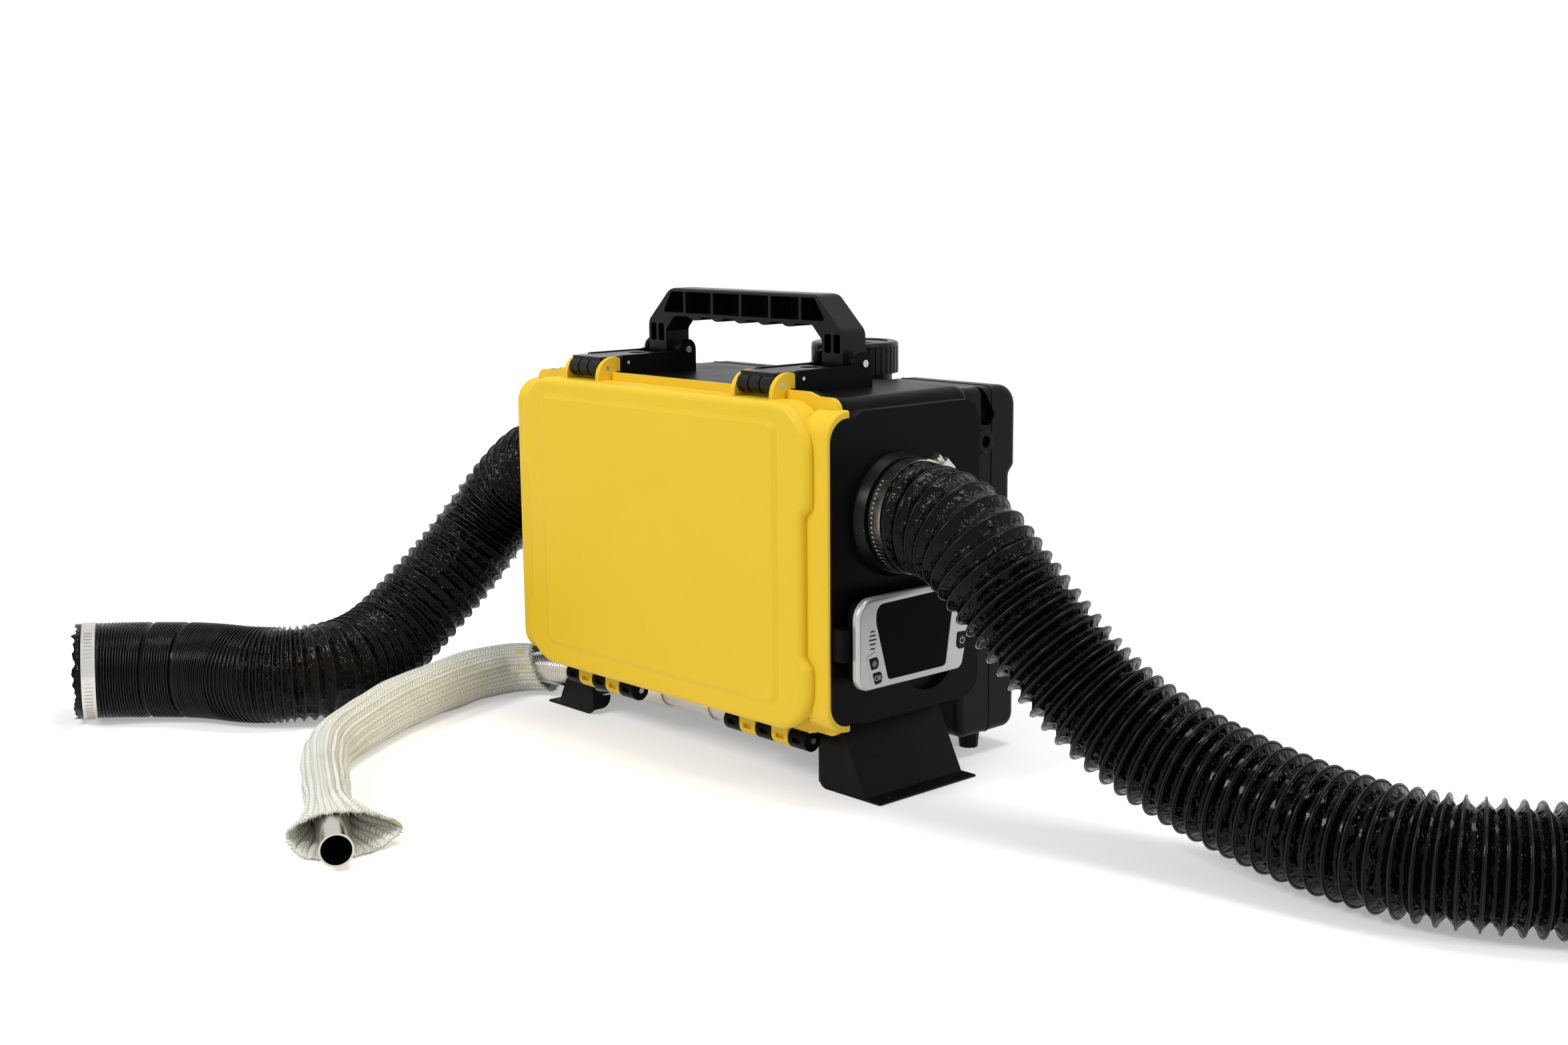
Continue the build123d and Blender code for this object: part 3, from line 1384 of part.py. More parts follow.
def make_fuel_line():
    """Fuel line from the tank through the filter and the pump to the burner."""
    line = rod("y", fuel_x, fuel_z, fuel_r, pump_y, tank_y + stand_half / 3)
    route = [(fuel_x, pump_y, fuel_z), (fuel_x, back(30), fuel_z), (fuel_x + 8, back(22), fuel_z + 26),
             (fuel_x + 40, back(20), fuel_z + 66), (fuel_in_x - 42, back(19), duct_z - 40),
             (fuel_in_x - 15, back(18), duct_z - 19), (fuel_in_x, back(23), duct_z - 8),
             (fuel_in_x, duct_y - burner_r + 1, duct_z - 8)]
    path = FilletPolyline(*route, radius=route_radii(route))
    start = Plane(path @ 0, z_dir=path % 0)
    bend = sweep(start * Circle(fuel_r), path)
    return line + bend


# ---- all nodes ---------------------------------------------------------------------------------
warm_path = route_path("warm duct", warm_route, 2 * duct_crest_r)
return_path = route_path("return duct", return_route, 2 * duct_crest_r)
flex_path = route_path("exhaust flex", flex_route, 2 * flex_crest_r)
frames = clamp_frames(return_path)
lower_shell, upper_shell = make_heater_shells()

nodes = {
    "case_base": make_case_base(),
    "lid_cover": make_lid_cover(),
    "lid_seal": make_lid_seal(),
    "hinge_pins": pair(make_hinge_pin()),
    "latch_right": make_latch(),
    "latch_left": flip(make_latch()),
    "latch_pins": pair(make_latch_pin()),
    "catch_pins": pair(make_catch_pin()),
    "handle": make_handle(),
    "handle_pins": pair(make_handle_pin()),
    "outlet_collar": make_collar(),
    "inlet_collar": flip(make_collar()),
    "warm_air_duct": make_warm_duct(warm_path),
    "return_air_duct": make_return_duct(),
    "exhaust_pipe": make_exhaust_pipe(),
    "exhaust_strap": make_exhaust_strap(),
    "exhaust_flex": make_exhaust_flex(flex_path),
    "exhaust_sleeve": make_exhaust_sleeve(flex_path),
    "tail_pipe": make_tail_pipe(flex_path),
    "foot_right": make_foot(),
    "foot_left": make_left_foot(flex_path),
    "foot_screws": make_foot_screws(),
    "fuel_tank": make_fuel_tank(),
    "filler_cap": make_filler_cap(),
    "cap_gasket": make_cap_gasket(),
    "tank_studs": make_tank_studs(),
    "controller_bezel": make_controller_bezel(),
    "controller_shell": make_controller_shell(),
    "controller_screen": make_screen(),
    "controller_cradle": make_cradle(),
    "cable_grommet": make_grommet(),
    "heater_lower_shell": lower_shell,
    "heater_upper_shell": upper_shell,
    "heat_exchanger": make_heat_exchanger(),
    "burner_tube": make_burner(),
    "glow_plug": make_glow_plug(),
    "blower_motor": make_blower_motor(),
    "blower_shaft": make_shaft(),
    "air_fan": make_wheel(fan_left, fan_right, fan_r, fan_blades, 32),
    "combustion_rotor": make_wheel(rotor_left, rotor_right, rotor_r, 12, 8),
    "control_board": make_control_board(),
    "heater_stand": make_stand(),
    "intake_pipe": make_intake_pipe(),
    "floor_gasket": make_floor_gasket(),
    "fuel_pump": make_fuel_pump(),
    "pump_mount": make_pump_mount(),
    "fuel_filter": make_fuel_filter(),
    "fuel_line": make_fuel_line(),
}
for name in button_places():
    nodes["button_" + name] = make_button(name)
for name, frame in frames.items():
    nodes["clamp_" + name] = clamp_band(frame)
    nodes["clamp_worm_" + name] = clamp_worm(frame)

os.makedirs("parts", exist_ok=True)
for name, shape in nodes.items():
    export_step(shape, f"parts/{name}.step")
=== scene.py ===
"""Looks of the portable diesel air heater: finishes, hoses, fine pieces, studio and camera.

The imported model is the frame. Every piece here is in metres, in that frame, with its object at the
origin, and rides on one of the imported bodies.
"""
import json
import logging
import math
import random
from dataclasses import dataclass, field
from enum import Enum

import bmesh
import bpy
import numpy as np
from mathutils import Matrix, Vector, noise

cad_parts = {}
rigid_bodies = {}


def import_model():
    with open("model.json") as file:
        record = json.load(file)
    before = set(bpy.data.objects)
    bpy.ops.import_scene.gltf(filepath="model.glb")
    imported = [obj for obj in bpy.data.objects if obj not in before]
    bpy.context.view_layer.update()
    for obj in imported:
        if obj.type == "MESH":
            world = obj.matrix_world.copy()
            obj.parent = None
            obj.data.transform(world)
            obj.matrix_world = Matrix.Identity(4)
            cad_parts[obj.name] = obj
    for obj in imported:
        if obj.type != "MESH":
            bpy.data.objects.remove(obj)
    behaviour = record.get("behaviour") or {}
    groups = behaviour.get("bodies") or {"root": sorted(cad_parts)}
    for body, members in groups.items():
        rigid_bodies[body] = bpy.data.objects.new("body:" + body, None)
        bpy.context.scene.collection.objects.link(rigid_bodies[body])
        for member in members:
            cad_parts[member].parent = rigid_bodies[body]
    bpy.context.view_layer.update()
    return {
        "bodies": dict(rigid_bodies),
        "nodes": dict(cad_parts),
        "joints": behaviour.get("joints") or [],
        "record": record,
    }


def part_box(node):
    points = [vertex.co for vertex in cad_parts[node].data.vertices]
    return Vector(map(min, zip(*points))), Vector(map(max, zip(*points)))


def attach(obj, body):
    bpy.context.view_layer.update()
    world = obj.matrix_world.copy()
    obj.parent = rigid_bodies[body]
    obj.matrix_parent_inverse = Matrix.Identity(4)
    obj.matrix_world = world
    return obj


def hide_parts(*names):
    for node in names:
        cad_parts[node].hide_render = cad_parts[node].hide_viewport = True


LOG = logging.getLogger("heater")
MM = 0.001
WHITE = (1.0, 1.0, 1.0, 1.0)
Colour = tuple[float, float, float]
Point = tuple[float, float, float]


class Grain(Enum):
    """Direction in which a metal surface was brushed or drawn."""

    ALONG_X = (0.04, 1.0, 1.0)
    NONE = (1.0, 1.0, 1.0)


# ---- node trees ---------------------------------------------------------------------------------
class Graph:
    """Short way to fill a shader tree, for materials and groups alike."""

    def __init__(self, tree: bpy.types.NodeTree, material: bpy.types.Material | None = None) -> None:
        """Wraps a tree.

        Args:
            tree: The node tree to fill.
            material: The material that the tree belongs to, if it does.
        """
        self.tree = tree
        self.material = material

    def feed(self, node: bpy.types.Node, values: dict) -> None:
        """Sets inputs of a node.

        Args:
            node: The node.
            values: Input sockets by name or index, each a plain value or a socket to link from.
        """
        for key, value in values.items():
            if isinstance(value, bpy.types.NodeSocket):
                self.tree.links.new(value, node.inputs[key])
            else:
                node.inputs[key].default_value = value

    def add(self, kind: str, values: dict | None = None, **settings: object) -> bpy.types.Node:
        """Adds a node.

        Args:
            kind: Blender's name of the node type.
            values: Its inputs, as for feed.
            settings: Properties of the node, set before its inputs.

        Returns:
            The new node.
        """
        node = self.tree.nodes.new(kind)
        for key, value in settings.items():
            setattr(node, key, value)
        self.feed(node, values or {})
        return node

    def group(self, tree: bpy.types.NodeTree, values: dict) -> bpy.types.NodeSocket:
        """Adds a shader group.

        Args:
            tree: The group.
            values: Its inputs, as for feed.

        Returns:
            Its output sockets.
        """
        return self.add("ShaderNodeGroup", values, node_tree=tree).outputs

    def math(self, operation: str, first: object, second: object = 0.0) -> bpy.types.NodeSocket:
        """Adds a Math node.

        Args:
            operation: Name of the operation.
            first: First value or socket.
            second: Second value or socket.

        Returns:
            Its output socket.
        """
        return self.add("ShaderNodeMath", {0: first, 1: second}, operation=operation).outputs[0]

    def spread(self, value: object, low: float, high: float, start: object,
               end: object) -> bpy.types.NodeSocket:
        """Maps a value from one range to another.

        Args:
            value: Socket to map.
            low: Lower end of what comes in.
            high: Upper end of what comes in.
            start: Result at the lower end.
            end: Result at the upper end.

        Returns:
            The output socket.
        """
        values = {0: value, 1: low, 2: high, 3: start, 4: end}
        return self.add("ShaderNodeMapRange", values).outputs[0]

    def blend(self, share: object, first: object, second: object) -> bpy.types.NodeSocket:
        """Mixes two colours.

        Args:
            share: Share of the second.
            first: Colour or socket.
            second: Colour or socket.

        Returns:
            The colour socket.
        """
        return self.add("ShaderNodeMix", {0: share, 6: first, 7: second}, data_type="RGBA").outputs[2]


def rgba(colour: Colour) -> tuple[float, float, float, float]:
    """Colour with a full alpha."""
    return (*colour, 1.0)


class Effects:
    """Shader node groups that several finishes share, each built once."""

    def __init__(self) -> None:
        """Builds the groups."""
        self.tone = self._tone()
        self.grain = self._grain()
        self.dust = self._dust()
        self.brush = self._brush()
        self.weave = self._weave()

    @staticmethod
    def _group(name: str, inputs: dict[str, str],
               outputs: dict[str, str]) -> tuple[Graph, dict, bpy.types.Node]:
        """Starts a group with named sockets.

        Args:
            name: Name of the group.
            inputs: Input names and their socket types.
            outputs: Output names and their socket types.

        Returns:
            The graph, the group's input sockets by name, and its output node.
        """
        tree = bpy.data.node_groups.new(name, "ShaderNodeTree")
        for label, kind in inputs.items():
            tree.interface.new_socket(label, in_out="INPUT", socket_type=kind)
        for label, kind in outputs.items():
            tree.interface.new_socket(label, in_out="OUTPUT", socket_type=kind)
        graph = Graph(tree)
        given = tree.nodes.new("NodeGroupInput")
        return graph, {s.name: s for s in given.outputs}, tree.nodes.new("NodeGroupOutput")

    def _tone(self) -> bpy.types.NodeTree:
        """Slow change of a colour over the surface."""
        graph, given, out = self._group(
            "cloudy_tone",
            {"Vector": "NodeSocketVector", "Colour": "NodeSocketColor", "Scale": "NodeSocketFloat",
             "Amount": "NodeSocketFloat"},
            {"Colour": "NodeSocketColor"})
        cloud = graph.add("ShaderNodeTexNoise", {"Vector": given["Vector"], "Scale": given["Scale"],
                                                 "Detail": 4.0, "Roughness": 0.6})
        centred = graph.math("SUBTRACT", cloud.outputs["Fac"], 0.5)
        change = graph.math("MULTIPLY", graph.math("MULTIPLY", centred, 2.0), given["Amount"])
        lift = graph.math("ADD", change, 1.0)
        scaled = graph.add("ShaderNodeVectorMath", {"Vector": given["Colour"], "Scale": lift},
                           operation="SCALE")
        graph.feed(out, {"Colour": scaled.outputs[0]})
        return graph.tree

    def _grain(self) -> bpy.types.NodeTree:
        """Fine moulded or sprayed grain, with a roughness that varies slowly."""
        graph, given, out = self._group(
            "fine_grain",
            {"Vector": "NodeSocketVector", "Normal": "NodeSocketVector", "Scale": "NodeSocketFloat",
             "Depth": "NodeSocketFloat", "Roughness": "NodeSocketFloat", "Spread": "NodeSocketFloat"},
            {"Normal": "NodeSocketVector", "Roughness": "NodeSocketFloat"})
        fine = graph.add("ShaderNodeTexNoise", {"Vector": given["Vector"], "Scale": given["Scale"],
                                                "Detail": 3.0, "Roughness": 0.55})
        bump = graph.add("ShaderNodeBump", {"Height": fine.outputs["Fac"], "Distance": given["Depth"],
                                            "Normal": given["Normal"], "Strength": 1.0})
        slow = graph.add("ShaderNodeTexNoise", {"Vector": given["Vector"], "Scale": 26.0, "Detail": 5.0})
        swing = graph.math("MULTIPLY", graph.math("SUBTRACT", slow.outputs["Fac"], 0.5), given["Spread"])
        graph.feed(out, {"Normal": bump.outputs[0],
                         "Roughness": graph.math("ADD", given["Roughness"], swing)})
        return graph.tree

    def _dust(self) -> bpy.types.NodeTree:
        """Scattered pale specks."""
        graph, given, out = self._group(
            "dust_specks",
            {"Vector": "NodeSocketVector", "Scale": "NodeSocketFloat", "Amount": "NodeSocketFloat"},
            {"Mask": "NodeSocketFloat"})
        cells = graph.add("ShaderNodeTexVoronoi", {"Vector": given["Vector"], "Scale": given["Scale"]})
        parts = graph.add("ShaderNodeSeparateColor", {"Color": cells.outputs["Color"]})
        chosen = graph.math("GREATER_THAN", parts.outputs[0], graph.math("SUBTRACT", 1.0, given["Amount"]))
        size = graph.math("MULTIPLY", parts.outputs[1], 0.14)
        near = graph.math("LESS_THAN", cells.outputs["Distance"], size)
        graph.feed(out, {"Mask": graph.math("MULTIPLY", chosen, near)})
        return graph.tree

    def _brush(self) -> bpy.types.NodeTree:
        """Drawn or brushed streaks on metal."""
        graph, given, out = self._group(
            "brushed_streaks",
            {"Vector": "NodeSocketVector", "Stretch": "NodeSocketVector", "Scale": "NodeSocketFloat",
             "Depth": "NodeSocketFloat", "Roughness": "NodeSocketFloat", "Spread": "NodeSocketFloat"},
            {"Normal": "NodeSocketVector", "Roughness": "NodeSocketFloat", "Streak": "NodeSocketFloat"})
        drawn = graph.add("ShaderNodeVectorMath", {0: given["Vector"], 1: given["Stretch"]},
                          operation="MULTIPLY")
        streak = graph.add("ShaderNodeTexNoise", {"Vector": drawn.outputs[0], "Scale": given["Scale"],
                                                  "Detail": 4.0, "Roughness": 0.7})
        bump = graph.add("ShaderNodeBump", {"Height": streak.outputs["Fac"], "Distance": given["Depth"],
                                            "Strength": 1.0})
        swing = graph.math("MULTIPLY", graph.math("SUBTRACT", streak.outputs["Fac"], 0.5), given["Spread"])
        graph.feed(out, {"Normal": bump.outputs[0], "Streak": streak.outputs["Fac"],
                         "Roughness": graph.math("ADD", given["Roughness"], swing)})
        return graph.tree

    def _weave(self) -> bpy.types.NodeTree:
        """Rows of slanted stitches, every other row slanted the other way, on a UV map counted in them."""
        graph, given, out = self._group(
            "stitch_rows",
            {"UV": "NodeSocketVector", "Depth": "NodeSocketFloat"},
            {"Height": "NodeSocketFloat", "Over": "NodeSocketFloat", "Normal": "NodeSocketVector",
             "Strand": "NodeSocketFloat"})
        parts = graph.add("ShaderNodeSeparateXYZ", {0: given["UV"]})
        across = graph.math("FRACT", parts.outputs[0])
        row = graph.math("FLOOR", parts.outputs[0])
        over = graph.math("FLOORED_MODULO", row, 2.0)
        way = graph.spread(over, 0.0, 1.0, -1.1, 1.1)
        sway = graph.add("ShaderNodeTexNoise", {"Vector": given["UV"], "Scale": 0.35, "Detail": 1.0})
        slant = graph.math("ADD", parts.outputs[1], graph.math("MULTIPLY", way, across))
        slant = graph.math("ADD", slant, graph.math("MULTIPLY", sway.outputs["Fac"], 2.2))
        stitch = graph.math("SINE", graph.math("MULTIPLY", graph.math("FRACT", slant), math.pi))
        round_row = graph.math("SINE", graph.math("MULTIPLY", across, math.pi))
        shape = graph.math("MULTIPLY", graph.math("POWER", stitch, 0.6), graph.math("POWER", round_row, 0.5))
        fibre = graph.add("ShaderNodeTexNoise", {"Vector": given["UV"], "Scale": 9.0, "Detail": 2.0})
        height = graph.math("ADD", shape, graph.math("MULTIPLY", fibre.outputs["Fac"], 0.3))
        bump = graph.add("ShaderNodeBump", {"Height": height, "Distance": given["Depth"], "Strength": 1.0})
        strand = graph.add("ShaderNodeTexWhiteNoise", {"W": graph.math("ADD", row, graph.math(
            "FLOOR", graph.math("MULTIPLY", slant, 0.25)))}, noise_dimensions="1D")
        graph.feed(out, {"Height": shape, "Over": over, "Normal": bump.outputs[0],
                         "Strand": strand.outputs["Value"]})
        return graph.tree


def start_material(name: str, **constants: object) -> tuple[Graph, bpy.types.Node, bpy.types.NodeSocket]:
    """Starts a material with one Principled shader.

    Args:
        name: Name of the material.
        constants: Sockets of the shader that stay the same all over, with _ for each space.

    Returns:
        The graph, the shader and the Object coordinates.
    """
    material = bpy.data.materials.new(name)
    material.use_nodes = True
    graph = Graph(material.node_tree, material)
    shader = material.node_tree.nodes["Principled BSDF"]
    for key, value in constants.items():
        shader.inputs[key.replace("_", " ")].default_value = value
    place = graph.add("ShaderNodeTexCoord").outputs["Object"]
    return graph, shader, place


# ---- finishes -----------------------------------------------------------------------------------
@dataclass(frozen=True)
class Moulded:
    """Plastic, rubber or sprayed paint: a colour with a fine grain, slow clouds and some dust."""

    name: str
    colour: Colour
    roughness: float
    gloss: float = 0.3
    grain_size: float = 0.0007
    grain_depth: float = 0.00003
    cloud: float = 0.12
    spread: float = 0.12
    dust: float = 0.0
    metallic: float = 0.0
    ior: float = 1.45
    rounding: float = 0.0005       # how far the edges look rounded
    speck: Colour = (0.12, 0.12, 0.11)

    def build(self, effects: Effects) -> bpy.types.Material:
        """Makes the material.

        Args:
            effects: The shared node groups.

        Returns:
            The material.
        """
        graph, shader, place = start_material(self.name, Metallic=self.metallic, IOR=self.ior,
                                              Specular_IOR_Level=self.gloss)
        colour = graph.group(effects.tone, {"Vector": place, "Colour": rgba(self.colour),
                                            "Scale": 11.0, "Amount": self.cloud})["Colour"]
        if self.dust:
            specks = graph.group(effects.dust, {"Vector": place, "Scale": 260.0, "Amount": self.dust})
            colour = graph.blend(specks["Mask"], colour, rgba(self.speck))
        edge = graph.add("ShaderNodeBevel", {"Radius": self.rounding}, samples=4)
        grain = graph.group(effects.grain, {
            "Vector": place, "Normal": edge.outputs[0], "Scale": 1.0 / self.grain_size,
            "Depth": self.grain_depth, "Roughness": self.roughness, "Spread": self.spread})
        graph.feed(shader, {"Base Color": colour, "Roughness": grain["Roughness"],
                            "Normal": grain["Normal"]})
        return graph.material


@dataclass(frozen=True)
class Steel:
    """Bare metal with drawn streaks, and a heat tint where it is asked for."""

    name: str
    colour: Colour
    roughness: float
    grain: Grain = Grain.NONE
    streaks: float = 900.0
    depth: float = 0.000006
    tint: float = 0.0
    heated: Colour = (0.36, 0.25, 0.13)

    def build(self, effects: Effects) -> bpy.types.Material:
        """Makes the material.

        Args:
            effects: The shared node groups.

        Returns:
            The material.
        """
        graph, shader, place = start_material(self.name, Metallic=1.0)
        brush = graph.group(effects.brush, {
            "Vector": place, "Stretch": self.grain.value, "Scale": self.streaks,
            "Depth": self.depth, "Roughness": self.roughness, "Spread": 0.22})
        dark = tuple(0.86 * part for part in self.colour)
        colour = graph.blend(brush["Streak"], rgba(dark), rgba(self.colour))
        if self.tint:
            cloud = graph.add("ShaderNodeTexNoise", {"Vector": place, "Scale": 24.0, "Detail": 3.0})
            share = graph.spread(cloud.outputs["Fac"], 0.42, 0.7, 0.0, self.tint)
            colour = graph.blend(share, colour, rgba(self.heated))
        graph.feed(shader, {"Base Color": colour, "Roughness": brush["Roughness"],
                            "Normal": brush["Normal"]})
        return graph.material


@dataclass(frozen=True)
class Film:
    """Thin black plastic film, glossy and creased into small facets."""

    name: str
    colour: Colour
    roughness: float
    facet: float = 0.009
    depth: float = 0.0016
    gloss: float = 0.5
    ior: float = 1.25

    def build(self, effects: Effects) -> bpy.types.Material:
        """Makes the material.

        Args:
            effects: The shared node groups.

        Returns:
            The material.
        """
        graph, shader, place = start_material(self.name, Specular_IOR_Level=self.gloss, IOR=self.ior)
        warp = graph.add("ShaderNodeTexNoise", {"Vector": place, "Scale": 0.9 / self.facet,
                                                "Detail": 2.0})
        push = graph.add("ShaderNodeVectorMath", {0: warp.outputs["Color"], "Scale": self.facet * 0.9},
                         operation="SCALE")
        moved = graph.add("ShaderNodeVectorMath", {0: place, 1: push.outputs[0]}, operation="ADD")
        cells = graph.add("ShaderNodeTexVoronoi", {"Vector": moved.outputs[0], "Scale": 1.0 / self.facet},
                          feature="F1", distance="CHEBYCHEV")
        small = graph.add("ShaderNodeTexVoronoi", {"Vector": moved.outputs[0], "Scale": 2.6 / self.facet},
                          feature="F1", distance="EUCLIDEAN")
        height = graph.math("ADD", cells.outputs["Distance"],
                            graph.math("MULTIPLY", small.outputs["Distance"], 0.2))
        slack = graph.add("ShaderNodeAttribute", attribute_name="slack").outputs["Fac"]
        bump = graph.add("ShaderNodeBump", {"Height": height, "Distance": self.depth, "Strength": slack})
        tone = graph.group(effects.tone, {"Vector": place, "Colour": rgba(self.colour),
                                          "Scale": 60.0, "Amount": 0.5})
        rough = graph.spread(warp.outputs["Fac"], 0.3, 0.7, self.roughness * 0.7, self.roughness * 1.5)
        graph.feed(shader, {"Base Color": tone["Colour"], "Roughness": rough,
                            "Normal": bump.outputs[0]})
        return graph.material


@dataclass(frozen=True)
class Braid:
    """Glass-fibre braid: silky pale yarns, a few of them yellow, with painted shade between the stitches and
    some stains.
    """

    name: str
    colour: Colour
    # The darker colour: painted shade in the hollows between stitches, and also the colour of the stains.
    shade_and_stain: Colour
    marker: Colour
    depth: float = 0.00055
    marked: float = 9.0            # stitches from the first end that have yellow ones among them

    def build(self, effects: Effects) -> bpy.types.Material:
        """Makes the material.

        Args:
            effects: The shared node groups.

        Returns:
            The material.
        """
        graph, shader, place = start_material(self.name, Roughness=0.55, Specular_IOR_Level=0.35,
                                              Sheen_Weight=0.25, Sheen_Roughness=0.4)
        chart = graph.add("ShaderNodeUVMap", uv_map="yarns").outputs[0]
        yarns = graph.group(effects.weave, {"UV": chart, "Depth": self.depth})
        # Painted shade: the low parts between stitches and rows take the darker colour.
        share = graph.spread(yarns["Height"], 0.2, 0.8, 0.0, 1.0)
        colour = graph.blend(share, rgba(self.shade_and_stain), rgba(self.colour))
        parts = graph.add("ShaderNodeSeparateXYZ", {0: chart})
        near = graph.math("LESS_THAN", parts.outputs[1], self.marked)
        rare = graph.math("GREATER_THAN", yarns["Strand"], 0.86)
        mark = graph.math("MULTIPLY", graph.math("MULTIPLY", near, rare), yarns["Over"])
        colour = graph.blend(graph.math("MULTIPLY", mark, 0.8), colour, rgba(self.marker))
        # Random stains in the same darker colour.
        cloud = graph.add("ShaderNodeTexNoise", {"Vector": place, "Scale": 38.0, "Detail": 3.0})
        stain = graph.spread(cloud.outputs["Fac"], 0.45, 0.75, 0.0, 0.35)
        colour = graph.blend(stain, colour, rgba(self.shade_and_stain))
        graph.feed(shader, {"Base Color": colour, "Normal": yarns["Normal"]})
        return graph.material


@dataclass(frozen=True)
class Glass:
    """Dark glass of a screen that is off, with faint smears."""

    name: str
    colour: Colour
    roughness: float
    ior: float = 1.12

    def build(self, effects: Effects) -> bpy.types.Material:
        """Makes the material.

        Args:
            effects: The shared node groups.

        Returns:
            The material.
        """
        graph, shader, place = start_material(self.name, Specular_IOR_Level=0.3, IOR=self.ior)
        smear = graph.add("ShaderNodeTexNoise", {"Vector": place, "Scale": 34.0, "Detail": 5.0})
        rough = graph.spread(smear.outputs["Fac"], 0.35, 0.75, self.roughness, self.roughness * 3.0)
        tone = graph.group(effects.tone, {"Vector": place, "Colour": rgba(self.colour),
                                          "Scale": 20.0, "Amount": 0.4})
        graph.feed(shader, {"Base Color": tone["Colour"], "Roughness": rough})
        return graph.material


class Finishes:
    """All finishes of the heater, built on first use."""

    # Moulded: name, colour, roughness, gloss, grain size, grain depth, cloud, spread, dust, metallic.
    LIST = (
        Moulded("yellow_shell", (0.82, 0.555, 0.030), 0.42, 0.22, 0.0009, 0.00002, 0.03, 0.08),
        Moulded("black_case", (0.0030, 0.0031, 0.0032),
                0.36, 0.2, 0.0008, 0.00002, 0.2, 0.14, 0.05, ior=1.22),
        Moulded("black_handle", (0.0050, 0.0052, 0.0054),
                0.30, 0.35, 0.0008, 0.00002, 0.2, 0.14, 0.02, ior=1.3),
        Moulded("black_tank", (0.0050, 0.0052, 0.0056),
                0.36, 0.3, 0.0011, 0.00004, 0.2, 0.16, 0.03, ior=1.25),
        Moulded("black_cap", (0.0055, 0.0055, 0.006),
                0.30, 0.4, 0.0008, 0.00002, 0.2, 0.12, 0.03, ior=1.3),
        Moulded("powder_coat", (0.0045, 0.0047, 0.0049),
                0.40, 0.3, 0.0012, 0.00006, 0.15, 0.12, 0.06, ior=1.22),
        Moulded("silver_paint", (0.50, 0.50, 0.49), 0.32, 0.5, 0.0003, 0.000008, 0.04, 0.08, 0.0, 0.55),
        Moulded("button_rubber", (0.006, 0.006, 0.0065), 0.38, 0.1, 0.0006, 0.00002, 0.1, 0.1),
        Moulded("soft_rubber", (0.010, 0.010, 0.010), 0.6, 0.15, 0.0009, 0.00005, 0.15, 0.12),
        Moulded("button_print", (0.66, 0.66, 0.62), 0.5, 0.3, 0.0005, 0.00001, 0.04, 0.08),
        Moulded("duct_wire", (0.0040, 0.0041, 0.0043), 0.22, 0.5, 0.0012, 0.00001, 0.2, 0.10, ior=1.28),
        Moulded("board_green", (0.012, 0.11, 0.045), 0.4, 0.4, 0.0008, 0.00003, 0.25, 0.12),
        Moulded("wheel_plastic", (0.09, 0.09, 0.095), 0.42, 0.4, 0.0008, 0.00003, 0.1, 0.12),
        Moulded("cast_alloy", (0.46, 0.46, 0.45), 0.45, 0.5, 0.0014, 0.0001, 0.1, 0.2, 0.0, 0.9),
        Moulded("clear_hose", (0.34, 0.31, 0.22), 0.3, 0.5, 0.0012, 0.00002, 0.1, 0.1),
        Steel("stainless_band", (0.66, 0.65, 0.61), 0.20, Grain.NONE, 90.0, 0.000002),
        Steel("drawn_steel", (0.60, 0.57, 0.52), 0.24, Grain.ALONG_X, 900.0, 0.000006, 0.25),
        Steel("tail_steel", (0.58, 0.55, 0.50), 0.20, Grain.ALONG_X, 600.0, 0.000004, 0.15),
        Steel("flex_steel", (0.64, 0.62, 0.57), 0.22, Grain.NONE, 500.0, 0.000004, 0.12),
        Steel("pin_steel", (0.60, 0.58, 0.53), 0.28, Grain.ALONG_X, 900.0),
        Steel("brass", (0.60, 0.42, 0.16), 0.3, Grain.NONE, 600.0),
        Film("duct_film", (0.0018, 0.0018, 0.0020), 0.12, 0.0080, 0.0019, 0.5, 1.20),
        Braid("glass_braid", (0.97, 0.97, 0.91), (0.58, 0.59, 0.48), (0.80, 0.64, 0.12)),
        Glass("screen_glass", (0.0020, 0.0020, 0.0024), 0.05),
    )

    def __init__(self) -> None:
        """Starts with the shared effects and no material."""
        self.effects = Effects()
        self.kinds = {kind.name: kind for kind in self.LIST}
        self.made: dict[str, bpy.types.Material] = {}

    def get(self, name: str) -> bpy.types.Material:
        """Material of a finish.

        Args:
            name: Name of the finish.

        Returns:
            The material.
        """
        if name not in self.made:
            self.made[name] = self.kinds[name].build(self.effects)
        return self.made[name]

    def dress(self, frame: dict, finish: str, *nodes: str) -> None:
        """Gives carried-over nodes their finish.

        Args:
            finish: Name of the finish.
            nodes: Names of the nodes.
        """
        for name in nodes:
            mesh = frame["nodes"][name].data
            mesh.materials.clear()
            mesh.materials.append(self.get(finish))


# ---- meshes -------------------------------------------------------------------------------------
def link_piece(name: str, mesh: bpy.types.Mesh, finish: bpy.types.Material,
               smooth: bool = True) -> bpy.types.Object:
    """Puts a finished mesh in the scene.

    Args:
        name: Name of the piece.
        mesh: Its mesh, already in place.
        finish: Its material.
        smooth: Whether it is shaded smooth.

    Returns:
        The object.
    """
    mesh.materials.clear()
    mesh.materials.append(finish)
    mesh.polygons.foreach_set("use_smooth", [smooth] * len(mesh.polygons))
    thing = bpy.data.objects.new(name, mesh)
    bpy.context.scene.collection.objects.link(thing)
    return thing


